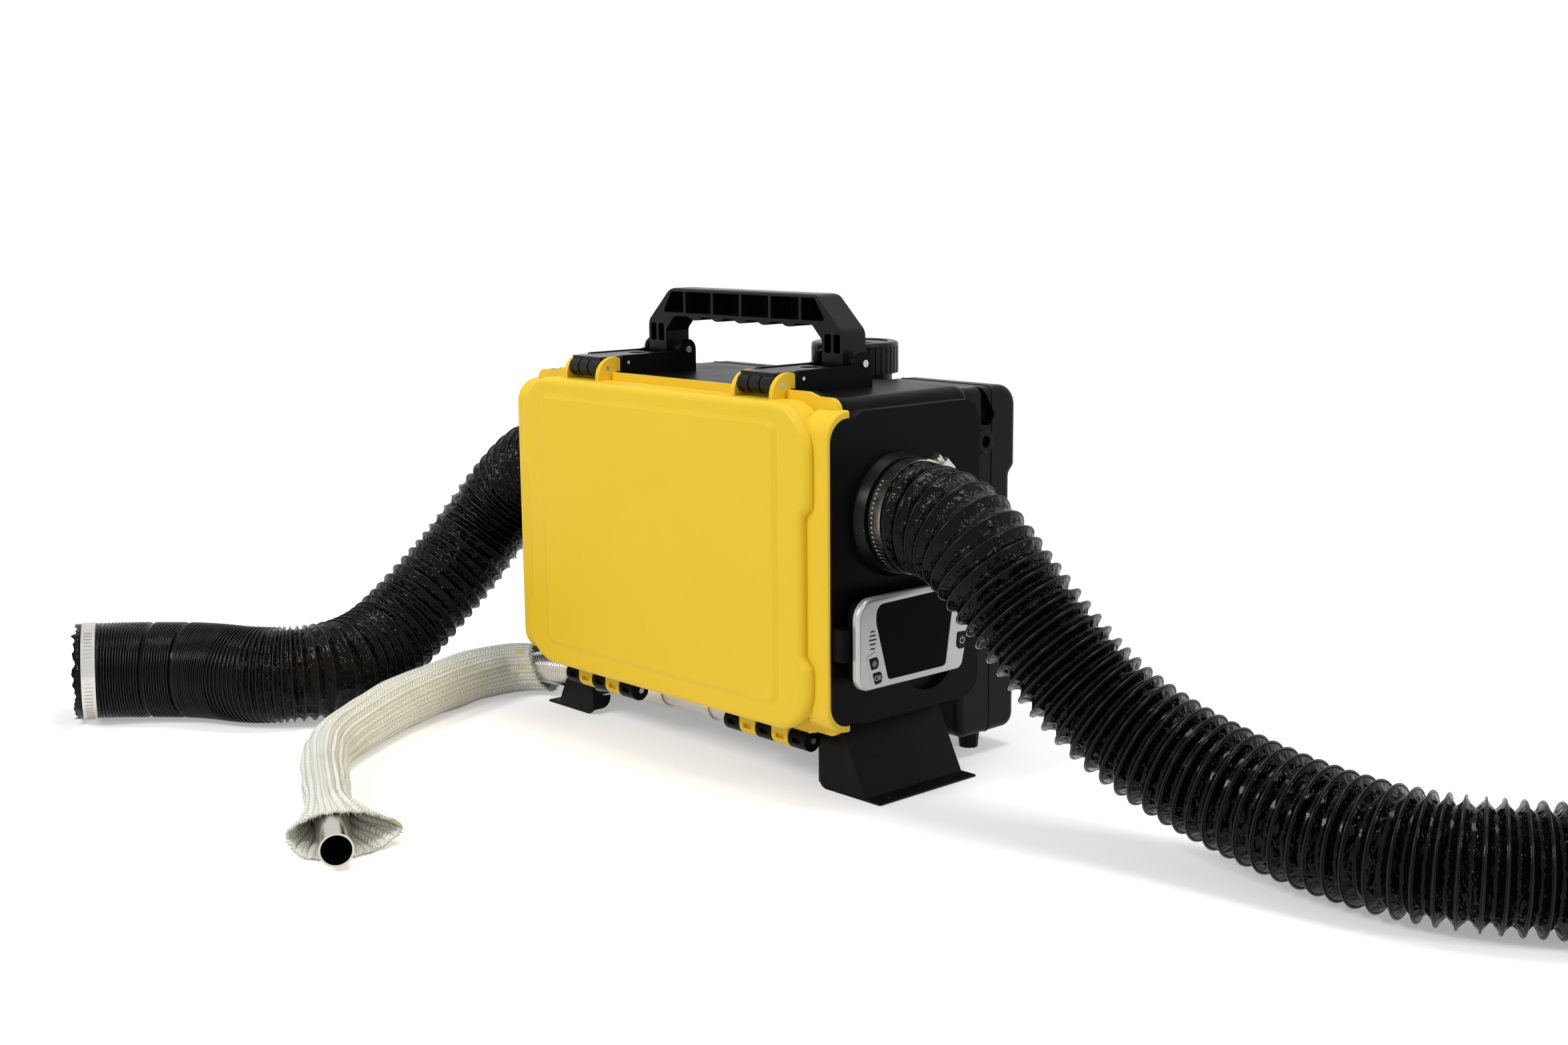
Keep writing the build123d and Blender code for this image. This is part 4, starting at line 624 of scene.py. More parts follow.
def ring_mesh(name: str, rings: np.ndarray, closed: bool, chart: np.ndarray | None = None,
              turns: float = 1.0) -> bpy.types.Mesh:
    """Skins a row of rings with quads that face outwards.

    Args:
        name: Name of the mesh.
        rings: Points as rings, points round each ring and three numbers.
        closed: Whether the last ring joins the first.
        chart: Height on the UV map of each ring, or None for no map.
        turns: Width of the UV map for one way round.

    Returns:
        The mesh.
    """
    count, around = rings.shape[:2]
    rows = count if closed else count - 1
    first = np.arange(rows)[:, None] * around
    second = ((np.arange(rows) + 1) % count)[:, None] * around
    here = np.arange(around)[None, :]
    there = (here + 1) % around
    quads = np.stack([first + here, first + there, second + there, second + here], axis=-1)
    mesh = bpy.data.meshes.new(name)
    mesh.from_pydata(rings.reshape(-1, 3).tolist(), [], quads.reshape(-1, 4).tolist())
    if chart is not None:
        shape = (rows, around)
        low = np.broadcast_to(chart[np.arange(rows)][:, None], shape)
        high = np.broadcast_to(chart[(np.arange(rows) + 1) % count][:, None], shape)
        left = np.broadcast_to(np.arange(around)[None, :] * turns / around, shape)
        right = left + turns / around
        spots = np.stack([left, low, right, low, right, high, left, high], axis=-1)
        layer = mesh.uv_layers.new(name="yarns")
        layer.data.foreach_set("uv", spots.reshape(-1).astype(np.float32))
    mesh.validate()
    return mesh


def tidy(mesh: bpy.types.Mesh) -> bpy.types.Mesh:
    """Merges doubles and turns the faces outwards.

    Args:
        mesh: The mesh to clean.

    Returns:
        The same mesh.
    """
    work = bmesh.new()
    work.from_mesh(mesh)
    bmesh.ops.remove_doubles(work, verts=work.verts, dist=1e-6)
    bmesh.ops.recalc_face_normals(work, faces=work.faces)
    work.to_mesh(mesh)
    work.free()
    return mesh


def baked(thing: bpy.types.Object) -> bpy.types.Mesh:
    """Plain mesh of an object with its modifiers, after which the object is removed.

    Args:
        thing: The object.

    Returns:
        The mesh.
    """
    bpy.context.view_layer.update()
    depsgraph = bpy.context.evaluated_depsgraph_get()
    mesh = bpy.data.meshes.new_from_object(thing.evaluated_get(depsgraph))
    bpy.data.objects.remove(thing)
    return mesh


class Trees:
    """Geometry Nodes trees for what repeats."""

    def __init__(self) -> None:
        """Builds the trees."""
        self.turns = self._turns()
        self.threads = self._threads()

    @staticmethod
    def _start(name: str, inputs: dict[str, str]) -> tuple[Graph, dict, bpy.types.Node]:
        """Starts a tree with named inputs.

        Args:
            name: Name of the tree.
            inputs: Input names and their socket types.

        Returns:
            The graph, the input sockets by name and the output node.
        """
        tree = bpy.data.node_groups.new(name, "GeometryNodeTree")
        tree.interface.new_socket("Places", in_out="INPUT", socket_type="NodeSocketGeometry")
        for label, kind in inputs.items():
            tree.interface.new_socket(label, in_out="INPUT", socket_type=kind)
        tree.interface.new_socket("Geometry", in_out="OUTPUT", socket_type="NodeSocketGeometry")
        given = tree.nodes.new("NodeGroupInput")
        return Graph(tree), {s.name: s for s in given.outputs}, tree.nodes.new("NodeGroupOutput")

    @staticmethod
    def _finish(graph: Graph, given: dict, out: bpy.types.Node, thing: bpy.types.NodeSocket,
                turn: bpy.types.NodeSocket, size: object) -> bpy.types.NodeTree:
        """Ends a tree: one copy on each place, realized and dressed.

        Args:
            graph: The tree under construction.
            given: Its inputs.
            out: Its output node.
            thing: What is copied.
            turn: Rotation of each copy.
            size: Scale of each copy.

        Returns:
            The tree.
        """
        copies = graph.add("GeometryNodeInstanceOnPoints",
                           {"Points": given["Places"], "Instance": thing, "Rotation": turn, "Scale": size})
        real = graph.add("GeometryNodeRealizeInstances", {0: copies.outputs[0]})
        dressed = graph.add("GeometryNodeSetMaterial", {"Geometry": real.outputs[0],
                                                        "Material": given["Finish"]})
        graph.tree.links.new(dressed.outputs[0], out.inputs[0])
        return graph.tree

    @staticmethod
    def _facing(graph: Graph) -> bpy.types.NodeSocket:
        """Rotation that turns a copy's Z along the place's own direction."""
        along = graph.add("GeometryNodeInputNamedAttribute", {"Name": "along"}, data_type="FLOAT_VECTOR")
        return graph.add("FunctionNodeAlignRotationToVector", {"Vector": along.outputs[0]},
                         axis="Z").outputs[0]

    def _turns(self) -> bpy.types.NodeTree:
        """Round wire turns, one on each place of a hose's centreline."""
        graph, given, out = self._start("wire_turns", {
            "Turn radius": "NodeSocketFloat", "Wire radius": "NodeSocketFloat", "Sides": "NodeSocketInt",
            "Finish": "NodeSocketMaterial"})
        circle = graph.add("GeometryNodeCurvePrimitiveCircle",
                           {"Resolution": given["Sides"], "Radius": given["Turn radius"]})
        section = graph.add("GeometryNodeCurvePrimitiveCircle", {"Resolution": 6,
                                                                 "Radius": given["Wire radius"]})
        wire = graph.add("GeometryNodeCurveToMesh", {"Curve": circle.outputs[0],
                                                     "Profile Curve": section.outputs[0]})
        size = graph.add("GeometryNodeInputNamedAttribute", {"Name": "size"}, data_type="FLOAT")
        return self._finish(graph, given, out, wire.outputs[0], self._facing(graph), size.outputs[0])

    def _threads(self) -> bpy.types.NodeTree:
        """Frayed yarn ends of random length, one on each place."""
        graph, given, out = self._start("frayed_ends", {
            "Length": "NodeSocketFloat", "Thickness": "NodeSocketFloat", "Seed": "NodeSocketInt",
            "Finish": "NodeSocketMaterial"})
        thread = graph.add("GeometryNodeMeshCone", {"Vertices": 5, "Side Segments": 2,
                                                    "Radius Top": 0.00008,
                                                    "Radius Bottom": given["Thickness"],
                                                    "Depth": given["Length"]})
        lean = graph.add("FunctionNodeRandomValue", {0: (-0.5, -0.5, 0.0), 1: (0.5, 0.5, 6.0),
                                                     "Seed": given["Seed"]}, data_type="FLOAT_VECTOR")
        spin = graph.add("FunctionNodeRotateRotation", {0: self._facing(graph), 1: lean.outputs[0]},
                         rotation_space="LOCAL")
        size = graph.add("FunctionNodeRandomValue", {2: 0.4, 3: 1.3, "Seed": given["Seed"]},
                         data_type="FLOAT")
        return self._finish(graph, given, out, thread.outputs[0], spin.outputs[0], size.outputs[1])

    @staticmethod
    def grow(name: str, tree: bpy.types.NodeTree, places: np.ndarray, along: np.ndarray,
             sizes: np.ndarray, **inputs: object) -> bpy.types.Object:
        """Runs a tree on places in space and keeps the result as a plain mesh.

        Args:
            name: Name of the piece.
            tree: The tree.
            places: Points to copy onto.
            along: Direction at each of them.
            sizes: Scale at each of them.
            inputs: The tree's inputs by name, with _ for each space.

        Returns:
            The piece, with its normals outwards.
        """
        base = bpy.data.meshes.new(name + "_places")
        base.from_pydata(places.tolist(), [], [])
        base.attributes.new("along", "FLOAT_VECTOR", "POINT").data.foreach_set(
            "vector", along.reshape(-1).astype(np.float32))
        base.attributes.new("size", "FLOAT", "POINT").data.foreach_set("value", sizes.astype(np.float32))
        holder = bpy.data.objects.new(name + "_places", base)
        bpy.context.scene.collection.objects.link(holder)
        modifier = holder.modifiers.new("copies", "NODES")
        modifier.node_group = tree
        for item in tree.interface.items_tree:
            key = item.name.replace(" ", "_")
            if item.item_type == "SOCKET" and item.in_out == "INPUT" and key in inputs:
                modifier[item.identifier] = inputs[key]
        mesh = tidy(baked(holder))
        return link_piece(name, mesh, inputs["Finish"])


# ---- hoses --------------------------------------------------------------------------------------
def ring_angles(count: int) -> np.ndarray:
    """Even angles round a ring.

    Args:
        count: How many.

    Returns:
        The angles in radians.
    """
    return np.arange(count) * 2 * math.pi / count


def units(vectors: np.ndarray) -> np.ndarray:
    """Unit vectors in the same directions.

    Args:
        vectors: Rows of three numbers.

    Returns:
        The unit vectors.
    """
    return vectors / np.linalg.norm(vectors, axis=1)[:, None]


class Line:
    """Centreline of a hose, measured along its length."""

    HALF_SPAN = 0.003              # a direction is taken over twice this length

    def __init__(self, points: np.ndarray) -> None:
        """Measures the points.

        Args:
            points: Close points along the line.
        """
        self.points = points
        steps = np.linalg.norm(np.diff(points, axis=0), axis=1)
        self.marks = np.concatenate([[0.0], np.cumsum(steps)])
        self.length = float(self.marks[-1])

    def at(self, where: np.ndarray) -> np.ndarray:
        """Points at distances along the line, which runs on straight past both ends.

        Args:
            where: Distances in metres.

        Returns:
            The points.
        """
        held = np.clip(where, 0.0, self.length)
        found = np.stack([np.interp(held, self.marks, self.points[:, axis]) for axis in range(3)], axis=1)
        first = self.points[1] - self.points[0]
        last = self.points[-1] - self.points[-2]
        early = np.minimum(where, 0.0)[:, None] * first / np.linalg.norm(first)
        late = np.maximum(where - self.length, 0.0)[:, None] * last / np.linalg.norm(last)
        return found + early + late

    def frames(self, where: np.ndarray) -> tuple[np.ndarray, np.ndarray, np.ndarray]:
        """Level frames along the line.

        Args:
            where: Distances in metres.

        Returns:
            Unit vectors along the line, level across it and upwards across it.
        """
        along = units(self.at(where + self.HALF_SPAN) - self.at(where - self.HALF_SPAN))
        level = units(np.cross(np.array([0.0, 0.0, 1.0]), along))
        return along, level, np.cross(along, level)

    def rings(self, where: np.ndarray, radii: np.ndarray) -> np.ndarray:
        """Rings square to the line.

        Args:
            where: Distance of each ring.
            radii: Radius of each point of each ring.

        Returns:
            The points, as rings, points round a ring and three numbers.
        """
        middle = self.at(where)
        _, level, upward = self.frames(where)
        turn = ring_angles(radii.shape[1])[None, :, None]
        across = level[:, None, :] * np.cos(turn) + upward[:, None, :] * np.sin(turn)
        return middle[:, None, :] + across * radii[:, :, None]


@dataclass(frozen=True)
class Route:
    """Control points of a hose, in millimetres, as in the part's source."""

    name: str
    points: tuple[Point, ...]

    def line(self) -> Line:
        """Smooth centreline: a NURBS spline with these control points."""
        curve = bpy.data.curves.new(self.name, "CURVE")
        curve.dimensions = "3D"
        curve.resolution_u = 40
        spline = curve.splines.new("NURBS")
        spline.points.add(len(self.points) - 1)
        for knot, place in zip(spline.points, self.points):
            knot.co = (place[0] * MM, place[1] * MM, place[2] * MM, 1.0)
        spline.order_u = 3
        spline.use_endpoint_u = True
        thing = bpy.data.objects.new(self.name, curve)
        bpy.context.scene.collection.objects.link(thing)
        mesh = baked(thing)
        return Line(np.array([v.co for v in mesh.vertices], float))


WARM_ROUTE = Route("warm_route", (
    (213, -43.5, 225), (246, -43.5, 225), (279, -43.5, 212), (305, -42, 187), (347, -34, 143),
    (388, -24, 103), (436, -15, 77), (493, -9, 59), (562, -5, 47), (628, 1, 43.8), (690, 32, 43.6),
    (738, 72, 43.7)))
RETURN_ROUTE = Route("return_route", (
    (-213, -43.5, 225), (-247, -43.5, 225), (-281, -44.5, 214), (-309, -49, 191), (-328, -66, 161),
    (-335, -97, 124), (-337, -135, 91), (-335, -171, 64), (-327, -207, 48), (-313, -258, 43.7),
    (-339, -310, 43.6), (-396, -334, 43.7), (-427, -364, 43.9), (-453, -398, 44.9), (-466, -425, 45.8)))
FLEX_ROUTE = Route("flex_route", (
    (-58, -59.5, 37), (-108, -59.5, 37), (-160, -60.5, 33.5), (-210, -61, 28.5), (-246, -62, 25.4),
    (-275, -86, 24.2), (-274, -126, 24.4), (-259, -176, 24.2), (-235, -234, 23.2), (-203, -288, 22),
    (-170, -339, 19), (-129, -366, 17.6), (-78, -393, 17.2), (-22, -421, 16.6)))


@dataclass
class FilmDuct:
    """Air duct of thin film over wire turns."""

    name: str
    node: str
    route: Route
    length: float
    packed: float = 0.0            # length at the free end that is pushed together
    packed_pitch: float = 0.0028
    easing: float = 0.07           # length over which the turns draw apart
    ragged: float = 0.0            # how far torn film hangs out of the free end
    clamped_end: bool = False
    diameter: float = 0.087
    crest: float = 0.0434
    pitch: float = 0.012
    valley: float = 0.0076         # deepest fold between two turns
    shallow: float = 0.0030        # fold where the film is drawn tight, near the collar
    drawn: tuple[float, float] = (0.07, 0.15)  # where the folds turn from shallow to deep
    cuff: float = 0.017            # smooth film under the clamp
    mouth: float = 0.0412          # bore at both ends
    bore: float = 0.0362           # bore between them
    billow: float = 0.0013         # how far loose film swells
    crease: float = 0.0016         # how deep its creases are
    around: int = 144
    seed: int = 3
    exit_drop: float = 20.0        # the declared exit lies this far below the middle, by the pipe's wall
    extras: list[str] = field(default_factory=list)

    def turn_places(self, length: float) -> np.ndarray:
        """Distances of the wire turns.

        Args:
            length: Length of the centreline.

        Returns:
            The distances.
        """
        dice = random.Random(self.seed)
        end = length - (self.cuff if self.clamped_end else 0.004)
        change = length - self.packed
        places = [self.cuff]
        while True:
            here = places[-1]
            step = self.pitch * dice.uniform(0.9, 1.1)
            if self.packed and here > change - self.easing:
                share = min(1.0, (here - change + self.easing) / self.easing)
                step += (self.packed_pitch - step) * share ** 0.6
                if share >= 1.0:
                    step = self.packed_pitch * dice.uniform(0.9, 1.15)
                    if dice.random() < 0.035:
                        step *= 2.4
            if here + step > end:
                return np.array(places)
            places.append(here + step)

    def sag(self, gap: np.ndarray, where: np.ndarray, length: float) -> np.ndarray:
        """Depth of the film between two turns.

        Args:
            gap: Distance between the turns.
            where: Distance along the duct.
            length: Length of the centreline.

        Returns:
            The depth in metres.
        """
        share = np.clip((where - self.drawn[0]) / (self.drawn[1] - self.drawn[0]), 0.0, 1.0)
        deepest = self.shallow + (self.valley - self.shallow) * share
        far = np.clip((length - where) / 0.03, 0.4, 1.0)
        near = np.clip((where - 0.010) / 0.03, 0.3, 1.0)
        return np.minimum(0.85 * gap, deepest * near * far)

    def skin(self, line: Line, places: np.ndarray) -> tuple[np.ndarray, np.ndarray]:
        """Outer rings of the film.

        Args:
            line: The centreline.
            places: Distances of the wire turns.

        Returns:
            Distance of each ring and radius of each point.
        """
        stops = [0.0, *places.tolist(), line.length]
        where = [0.0]
        share = [0.0]
        gaps = [self.pitch]
        for start, end in zip(stops, stops[1:]):
            gap = end - start
            count = 8 if gap > 0.006 else (5 if gap > 0.0034 else 3)
            for step in range(1, count + 1):
                where.append(start + gap * step / count)
                share.append(step / count)
                gaps.append(gap)
        spots = np.array(where)
        hollow = (1.0 - np.abs(2.0 * np.array(share) - 1.0)) ** 0.8
        gap = np.array(gaps)
        cuffs = (spots <= self.cuff + 1e-6)
        if self.clamped_end:
            cuffs |= spots > places[-1] + 1e-6
        depth = np.where(cuffs, 0.0, self.sag(gap, spots, line.length) * hollow)
        loose = np.where(cuffs, 0.0, hollow * np.minimum(gap / self.pitch, 1.0))
        radii = np.repeat((self.crest - depth)[:, None], self.around, axis=1)
        turn = ring_angles(self.around)
        for ring, spot in enumerate(spots):
            if loose[ring] < 0.05:
                continue
            for step, angle in enumerate(turn):
                x = math.cos(angle) * 4.6
                y = math.sin(angle) * 4.6
                wide = noise.noise(Vector((x, y, spot * 95.0 + self.seed)))
                fold = 1.0 - abs(noise.noise(Vector((x * 2.1, y * 2.1, spot * 210.0 - self.seed)))) * 2.4
                radii[ring, step] += loose[ring] * (self.billow * wide - self.crease * max(fold, 0.0) ** 2)
        return spots, np.minimum(radii, self.crest + 0.0004)

    def film(self, line: Line, places: np.ndarray,
             finish: bpy.types.Material) -> tuple[bpy.types.Object, np.ndarray]:
        """The film as a closed shell with a thin rim at both ends.

        Args:
            line: The centreline.
            places: Distances of the wire turns.
            finish: The film's material.

        Returns:
            The piece and the middles of its outer rings.
        """
        spots, radii = self.skin(line, places)
        outer = line.rings(spots, radii)
        if self.ragged:
            along, _, _ = line.frames(spots[-3:])
            for step, angle in enumerate(ring_angles(self.around)):
                x = math.cos(angle)
                y = math.sin(angle)
                tear = 0.5 + noise.noise(Vector((x * 2.2, y * 2.2, self.seed)))
                fine = noise.noise(Vector((x * 9.0, y * 9.0, self.seed)))
                reach = self.ragged * max(0.05, tear + 0.6 * fine)
                outer[-1, step] += along[-1] * reach
        count = max(24, round(line.length / 0.012))
        inner_spots = np.linspace(0.0, line.length, count)
        stops = [0.0, 0.024, 0.034, line.length - 0.030, line.length - 0.008, line.length]
        if self.packed:
            stops[3] = line.length - self.packed - self.easing
            stops[4] = line.length - self.packed + 0.02
        bores = [self.mouth] * 2 + [self.bore] * 2 + [self.mouth] * 2
        inner_radii = np.interp(inner_spots, stops, bores)
        inner = line.rings(inner_spots, np.repeat(inner_radii[:, None], self.around, axis=1))
        inner[0] = outer[0] * 0.985 + inner[0] * 0.015
        inner[-1] = outer[-1] * 0.8 + inner[-1] * 0.2
        rings = np.concatenate([outer, inner[::-1]])
        mesh = ring_mesh(self.name, rings, closed=True)
        stops = np.concatenate([[0.0], places, [line.length]])
        near = np.abs(spots[:, None] - stops[None, :]).min(axis=1)
        slack = np.concatenate([np.clip(near / 0.0035, 0.0, 1.0), np.zeros(count)])
        layer = mesh.attributes.new("slack", "FLOAT", "POINT")
        layer.data.foreach_set("value", np.repeat(slack, self.around).astype(np.float32))
        return link_piece(self.name, mesh, finish), line.at(spots)

    def wires(self, line: Line, places: np.ndarray, trees: Trees,
              finish: bpy.types.Material) -> bpy.types.Object:
        """The wire turns under the film.

        Args:
            line: The centreline.
            places: Distances of the turns.
            trees: The Geometry Nodes trees.
            finish: Their material.

        Returns:
            The piece.
        """
        along, _, _ = line.frames(places)
        return trees.grow(self.name + "_wires", trees.turns, line.at(places), along,
                          np.ones(len(places)), Turn_radius=self.crest - 0.0003, Wire_radius=0.0008,
                          Sides=72, Finish=finish)

    def build(self, frame: dict, finishes: Finishes, trees: Trees) -> None:
        """Args:
            finishes: The finishes.
            trees: The Geometry Nodes trees.
        """
        line = self.route.line()
        places = self.turn_places(line.length)
        film, middles = self.film(line, places, finishes.get("duct_film"))
        wires = self.wires(line, places, trees, finishes.get("duct_wire"))
        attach(film, "case")
        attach(wires, "case")
        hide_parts(self.node)
        LOG.info("%s: %d turns, centreline %.0f mm", self.name, len(places), line.length / MM)


@dataclass
class ExhaustHose:
    """Corrugated flex of the exhaust with its loose braided sleeve."""

    length: float = 0.670
    diameter: float = 0.0308
    crest: float = 0.0154
    valley: float = 0.0131
    bore: float = 0.0127
    fine_pitch: float = 0.0030     # real corrugations, where they show
    hidden_pitch: float = 0.0054
    sleeve_start: float = 0.198
    neck_gap: float = 0.006        # where the sleeve starts to open, before the flex's end
    slant: float = 0.016           # the sleeve's first end reaches this much further below
    radii: tuple[float, ...] = (0.0222, 0.0236, 0.0240, 0.0236, 0.0232, 0.0222, 0.0205, 0.0188, 0.0178,
                                0.0172, 0.0170)
    around: int = 120
    yarns: float = 36.0            # rows counted round the sleeve
    yarn_step: float = 0.0038      # one stitch along the sleeve
    thickness: float = 0.0012
    spans: int = 150               # rings up to the neck
    opening: int = 34              # rings from the neck to the mouth
    slanted: int = 14              # rings over which the slant of the first end fades
    folds: int = 19                # lengthwise folds round the sleeve
    sleeve_clear: float = 0.0006   # least height over the ground of the sleeve
    rim_clear: float = 0.0003      # of its rolled rim
    fray_clear: float = 0.0002     # and of its yarn ends
    # The open mouth, from the flex's end: along the tail pipe, sideways, and above the ground.
    mouth: tuple[Point, ...] = (
        (0.034, 0.049, 0.011), (0.038, 0.030, 0.0245), (0.043, 0.006, 0.0305), (0.040, -0.016, 0.0270),
        (0.032, -0.032, 0.013), (0.052, -0.022, 0.0022), (0.060, 0.004, 0.0014), (0.050, 0.030, 0.0018))

    def corrugations(self, line: Line) -> tuple[np.ndarray, np.ndarray]:
        """Distances and radii of the flex's rings.

        Args:
            line: The centreline.

        Returns:
            Distances and radii.
        """
        where = [0.0]
        radii = [self.valley]
        while where[-1] < line.length - self.hidden_pitch:
            shown = where[-1] < self.sleeve_start + 0.02 or where[-1] > line.length - 0.03
            pitch = self.fine_pitch if shown else self.hidden_pitch
            start = where[-1]
            for share, high in ((0.2, 0.75), (0.45, 1.0), (0.7, 0.75), (1.0, 0.0)):
                where.append(start + pitch * share)
                radii.append(self.valley + (self.crest - self.valley) * high)
        where.append(line.length)
        radii.append(self.valley)
        return np.array(where), np.array(radii)

    def flex(self, line: Line, finish: bpy.types.Material) -> tuple[bpy.types.Object, np.ndarray]:
        """The flex as a closed shell.

        Args:
            line: The centreline.
            finish: Its material.

        Returns:
            The piece and the middles of its rings.
        """
        where, radii = self.corrugations(line)
        around = 48
        outer = line.rings(where, np.repeat(radii[:, None], around, axis=1))
        spots = np.linspace(0.0, line.length, 90)
        inner = line.rings(spots, np.full((90, around), self.bore))
        mesh = ring_mesh("exhaust_flex_hose", np.concatenate([outer, inner[::-1]]), closed=True)
        return link_piece("exhaust_flex_hose", mesh, finish), line.at(where)

    def mouth_ring(self, line: Line) -> np.ndarray:
        """Rim of the open mouth, smooth through its given points.

        Args:
            line: The centreline.

        Returns:
            One point for each step round the sleeve.
        """
        end = line.at(np.array([line.length]))[0]
        along, level, _ = (part[0] for part in line.frames(np.array([line.length])))
        flat = units(np.array([[along[0], along[1], 0.0]]))[0]
        knots = np.array(self.mouth)
        count = len(knots)
        share = np.arange(self.around) * count / self.around
        first = np.floor(share).astype(int)
        t = (share - first)[:, None]
        p0, p1, p2, p3 = (knots[(first + shift) % count] for shift in (-1, 0, 1, 2))
        local = 0.5 * (2 * p1 + (p2 - p0) * t + (2 * p0 - 5 * p1 + 4 * p2 - p3) * t ** 2
                       + (3 * p1 - p0 - 3 * p2 + p3) * t ** 3)
        rim = end[None, :] * np.array([1.0, 1.0, 0.0]) + flat * local[:, :1] + level * local[:, 1:2]
        rim[:, 2] = local[:, 2]
        return rim

    def sleeve_rings(self, line: Line) -> tuple[np.ndarray, np.ndarray]:
        """Rings of the sleeve, from its first end to the open mouth.

        Args:
            line: The centreline.

        Returns:
            The rings and their heights on the UV map.
        """
        neck = line.length - self.neck_gap
        spots = np.linspace(self.sleeve_start, neck, self.spans)
        share = np.linspace(0.0, 1.0, self.spans)
        base = np.interp(share, np.linspace(0.0, 1.0, len(self.radii)), self.radii)
        turn = ring_angles(self.around)
        middle = line.at(spots)
        _, level, upward = line.frames(spots)
        rings = np.zeros((self.spans, self.around, 3))
        for ring in range(self.spans):
            ridge = 0.00035 + 0.0010 * np.clip((share[ring] - 0.35) / 0.3, 0.0, 1.0)
            low = min(base[ring], middle[ring, 2] - 0.0004)
            for step, angle in enumerate(turn):
                stray = noise.noise(Vector((0.0, share[ring] * 9.0, angle)))
                wave = math.sin(angle * self.folds + 1.4 * stray)
                dent = noise.noise(Vector((math.cos(angle) * 1.3, math.sin(angle) * 1.3,
                                           share[ring] * 14.0)))
                wide = base[ring] + ridge * wave + 0.0016 * dent
                tall = (low if angle > math.pi else base[ring]) + ridge * wave + 0.0010 * dent
                place = (middle[ring] + level[ring] * math.cos(angle) * wide
                         + upward[ring] * math.sin(angle) * tall)
                rings[ring, step] = place
        along = line.frames(spots[:1])[0][0]
        for ring in range(self.slanted):
            fade = (1.0 - ring / self.slanted) ** 1.5
            rings[ring] -= along * (self.slant * fade * (0.5 - 0.5 * np.sin(turn)))[:, None]
        rim = self.mouth_ring(line)
        neck_ring = rings[-1]
        ahead = line.frames(spots[-1:])[0][0]
        opened = np.zeros((self.opening, self.around, 3))
        reach = np.linalg.norm(rim - neck_ring, axis=1)[:, None]
        outward = (rim - neck_ring) / reach
        for index in range(self.opening):
            t = (index + 1) / self.opening
            start = ahead[None, :] * reach * 1.1
            finish = outward * reach * 1.5
            opened[index] = ((2 * t ** 3 - 3 * t ** 2 + 1) * neck_ring + (t ** 3 - 2 * t ** 2 + t) * start
                             + (3 * t ** 2 - 2 * t ** 3) * rim + (t ** 3 - t ** 2) * finish)
        ridge = 0.0009 * np.sin(turn * self.folds + 0.7)
        for index in range(self.opening):
            fade = 1.0 - 0.5 * index / self.opening
            away = units(opened[index] - opened[index].mean(axis=0))
            opened[index] += away * (ridge * fade)[:, None]
        rings = np.concatenate([rings, opened])
        rings[:, :, 2] = np.maximum(rings[:, :, 2], self.sleeve_clear)
        middles = rings.mean(axis=1)
        travel = np.concatenate([[0.0], np.cumsum(np.linalg.norm(np.diff(middles, axis=0), axis=1))])
        return rings, travel / self.yarn_step

    def sleeve(self, line: Line, finishes: Finishes, trees: Trees) -> list[bpy.types.Object]:
        """The braided sleeve, the rolled rim of its mouth and its frayed ends.

        Args:
            line: The centreline.
            finishes: The finishes.
            trees: The Geometry Nodes trees.

        Returns:
            The pieces, the sleeve first.
        """
        rings, chart = self.sleeve_rings(line)
        inner = self.inset(rings)
        whole = np.concatenate([rings, inner[::-1]])
        both = np.concatenate([chart, chart[::-1]])
        mesh = ring_mesh("exhaust_sleeve_braid", whole, True, both, self.yarns)
        braid = finishes.get("glass_braid")
        sleeve = link_piece("exhaust_sleeve_braid", mesh, braid)
        rim = self.rolled_rim(rings[-1], braid)
        ahead = units(rings[0] - rings[2])
        out = units(rings[-1] - rings[-4])
        places = np.concatenate([rings[0], rings[-1], rings[-1]])
        along = np.concatenate([ahead, out, out])
        ends = trees.grow("exhaust_sleeve_frays", trees.threads, places, along, np.ones(len(places)),
                          Length=0.0042, Thickness=0.00045, Seed=11, Finish=braid)
        for corner in ends.data.vertices:
            corner.co.z = max(corner.co.z, self.fray_clear)
        return [sleeve, rim, ends]

    def inset(self, rings: np.ndarray) -> np.ndarray:
        """The same rings moved inwards by the sleeve's thickness.

        Args:
            rings: Outer rings.

        Returns:
            Inner rings.
        """
        around = np.roll(rings, -1, axis=1) - np.roll(rings, 1, axis=1)
        along = np.gradient(rings, axis=0)
        normal = np.cross(around, along)
        normal /= np.linalg.norm(normal, axis=2)[:, :, None]
        return rings - normal * self.thickness

    def rolled_rim(self, loop: np.ndarray, finish: bpy.types.Material) -> bpy.types.Object:
        """Thick uneven rim along the mouth.

        Args:
            loop: Points round the mouth.
            finish: Its material.

        Returns:
            The piece.
        """
        ahead = units(np.roll(loop, -1, axis=0) - np.roll(loop, 1, axis=0))
        away = loop - loop.mean(axis=0)
        away = units(away - ahead * np.sum(away * ahead, axis=1)[:, None])
        side = np.cross(ahead, away)
        rings = np.zeros((len(loop), 8, 3))
        for index in range(len(loop)):
            lump = 0.0013 + 0.0005 * noise.noise(Vector(loop[index]) * 160.0)
            for step in range(8):
                angle = step * math.pi / 4
                rings[index, step] = (loop[index] + away[index] * math.cos(angle) * lump
                                      + side[index] * math.sin(angle) * lump)
        rings[:, :, 2] = np.maximum(rings[:, :, 2], self.rim_clear)
        chart = np.arange(len(loop), dtype=float) * 0.8
        mesh = tidy(ring_mesh("exhaust_sleeve_rim", rings, True, chart, 2.0))
        return link_piece("exhaust_sleeve_rim", mesh, finish)

